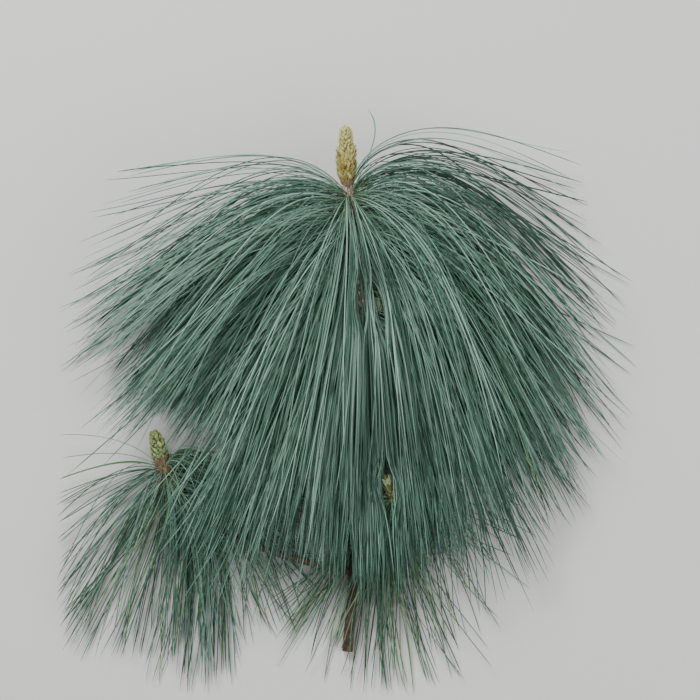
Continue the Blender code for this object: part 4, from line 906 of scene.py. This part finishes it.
def candleScales(name, foot, tip, spec, seed):
    # upright scales in a golden spiral through each zone, rooted under the candle's outline
    dice = np.random.default_rng(seed)
    height = float(np.linalg.norm(tip - foot))
    axis = unit(tip - foot)
    across = unit(np.cross(axis, np.array([0.0, 0.0, 1.0])))
    over = np.cross(across, axis)
    outline = np.array(candleOutlines[spec["outline"]])
    rows = []
    for (low, high), count, length, width, (least, most), pairs in spec["zones"]:
        share = low + (high - low) * (np.arange(count) + 0.5) / count
        around = np.arange(count) * goldenTurn + dice.normal(0.0, 0.10, count) + low * 7.0
        sizes = 1.0 + dice.normal(0.0, 0.12, count)
        lean = dice.uniform(least, most, count) * (1.0 - 0.9 * rampUp(share, 0.80, 1.0))
        room = (1.01 - share) * height / 0.72
        rows.append(np.stack([share, around, np.minimum(length * sizes, room), width * sizes, lean,
                              np.array(pairs)[dice.integers(0, len(pairs), count)]], axis=1))
    share, around, length, width, lean, pair = np.concatenate(rows).T
    out = across * np.cos(around)[:, None] + over * np.sin(around)[:, None]
    rooted = share - 0.28 * length / height
    seat = spec["width"] * np.interp(rooted, outline[:, 0], outline[:, 1]) - 0.34 * width
    reached = spec["width"] * np.interp(share + 0.55 * length / height, outline[:, 0], outline[:, 1])
    draw = np.clip((reached - 0.30 * width - seat) / length, -0.5, 0.4)
    root = foot + axis * (rooted * height)[:, None] + out * seat[:, None]
    along = unit(axis + out * draw[:, None])
    outward = unit(out - along * np.einsum("ij,ij->i", out, along)[:, None])
    spindles(name, root, along, outward, length, width, lean, spec["bulge"], spec["pairs"], pair.astype(int),
             spec["slot"])


print("candles")
stemRise = unit(leaderLine(0.0) - leaderLine(0.005))
leaderFoot = leaderLine(0.0) + stemRise * 0.0003
leaderTip = candleSpecs["leader"]["tip"]
ends = {"leader": (leaderFoot, np.array([*leaderTip, leaderFoot[2] + stemRise[2] * math.hypot(*leaderTip)]))}
for side, spec in sideShoots.items():
    end = shootLines[side][0](0.0)
    ends[side] = (end, np.array([*spec["candleTip"], end[2] + shootSizes["candleRise"]]))
ends["bud"] = (budEnd, np.array([*budShoot["tip"], budEnd[2] + shootSizes["candleRise"]]))
for number, (name, spec) in enumerate(candleSpecs.items()):
    foot, tip = ends[name]
    candleBody(f"{name}CandleBody", foot, tip, spec["width"] * spec["core"], candleOutlines[spec["outline"]],
               [scaleMaterial(colour) for colour in spec["body"]], spec["slot"], spec["node"])
    candleScales(f"{name}CandleScales", foot, tip, spec, 80 + number)

footLook = {"width": 0.0015, "bulge": ((0.0, 1.0), (0.3, 1.1), (0.7, 0.95), (1.0, 0.70))}
bractColours = (("tan", "blush"), ("blush", "blush"), ("blush", "blush"))
# bracts on the leader: stretch of the stem, count, length, width, least and most lean
bractZones = (((0.0, 0.045), 46, 0.0034, 0.0012, (0.15, 0.50)), ((0.02, 0.16), 120, 0.0040, 0.0011, (0.45, 1.00)),
              ((0.15, 0.36), 180, 0.0030, 0.0016, (0.15, 0.48)))


def bundleFeet(name, source, slot):
    # a short brown sheath round the foot of each bundle, along the bundle's mean direction
    path, rows = grown[source]
    five = needleLook["bundle"]
    keep = rows["keep"].reshape(-1, five).any(axis=1)
    mean = path[:, :3].reshape(-1, five, 3, 3).mean(axis=1)[keep]
    along = unit(mean[:, 2] - mean[:, 0])
    out = unit(np.cross(along, np.array([0.3, 0.2, 1.0])))
    dice = np.random.default_rng(fountains[source]["seed"] + 50)
    size = 1.0 + dice.normal(0.0, 0.10, len(mean))
    root = mean[:, 0] - along * 0.0006
    length, colours = fountains[source]["sheath"]
    spindles(name, root, along, out, length * size, footLook["width"] * size, 0.0 * size, footLook["bulge"], colours,
             dice.integers(0, len(colours), len(mean)), slot)


for source in fountains:
    bundleFeet(f"{source}BundleFeet", source, "bark")

def stemBracts(zones, seed):
    # small pointed bracts in a golden spiral up the leader, curving out from its bark
    dice = np.random.default_rng(seed)
    rows = []
    for (low, high), count, length, width, (least, most) in zones:
        share = low + (high - low) * (np.arange(count) + 0.5) / count
        around = np.arange(count) * goldenTurn + dice.normal(0.0, 0.08, count)
        size = 1.0 + dice.normal(0.0, 0.14, count)
        rows.append(np.stack([share, around, length * size, width * size, dice.uniform(least, most, count)], axis=1))
    share, around, length, width, lean = np.concatenate(rows).T
    places, sideways, up = squareFrame(leaderLine, share)
    out = sideways * np.cos(around)[:, None] + up * np.sin(around)[:, None]
    root = places + out * (leaderRadius(share) - 0.00025)[:, None]
    spindles("leaderBracts", root, np.cross(up, sideways), out, length, width, lean, scaleBulge, bractColours,
             dice.integers(0, len(bractColours), len(share)), "bark")


stemBracts(bractZones, 90)


# Floor, light and camera

stageLook = {"floor": (0.80, 0.80, 0.785), "world": (1.0, 1.0, 1.0), "worldStrength": 0.45,
             "viewWidth": 0.404, "viewCentre": (0.0020, 0.0310), "viewDistance": 6.0}


def areaLight(name, place, size, power, target):
    light = bpy.data.lights.new(name, "AREA")
    light.shape = "DISK"
    light.size = size
    light.energy = power
    lamp = bpy.data.objects.new(name, light)
    bpy.context.scene.collection.objects.link(lamp)
    lamp.location = place
    aim = np.array(target) - np.array(place)
    lamp.rotation_euler = Vector(aim).to_track_quat("-Z", "Y").to_euler()
    return lamp


print("stage")
floorMesh = bpy.data.meshes.new("floor")
floorMesh.from_pydata([(-3, -3, 0), (3, -3, 0), (3, 3, 0), (-3, 3, 0)], [], [(0, 1, 2, 3)])
floorMesh.materials.append(newMaterial("floorPaper", stageLook["floor"], 0.9, 0.1))
floor = bpy.data.objects.new("floor", floorMesh)
bpy.context.scene.collection.objects.link(floor)
world = bpy.data.worlds.new("studio")
bpy.context.scene.world = world
world.use_nodes = True
world.node_tree.nodes["Background"].inputs["Color"].default_value = (*stageLook["world"], 1.0)
world.node_tree.nodes["Background"].inputs["Strength"].default_value = stageLook["worldStrength"]
areaLight("keyLight", (-0.55, 0.95, 1.10), 0.7, 22.0, (0.0, 0.0, 0.0))
areaLight("fillLight", (0.95, -0.35, 0.95), 1.0, 7.0, (0.0, 0.0, 0.0))
camera = bpy.data.cameras.new("viewFromAbove")
camera.sensor_width = 36.0
camera.lens = 36.0 * stageLook["viewDistance"] / stageLook["viewWidth"]
cameraObject = bpy.data.objects.new("viewFromAbove", camera)
bpy.context.scene.collection.objects.link(cameraObject)
centreX, centreY = stageLook["viewCentre"]
cameraObject.location = (centreX, centreY, stageLook["viewDistance"])
bpy.context.scene.camera = cameraObject
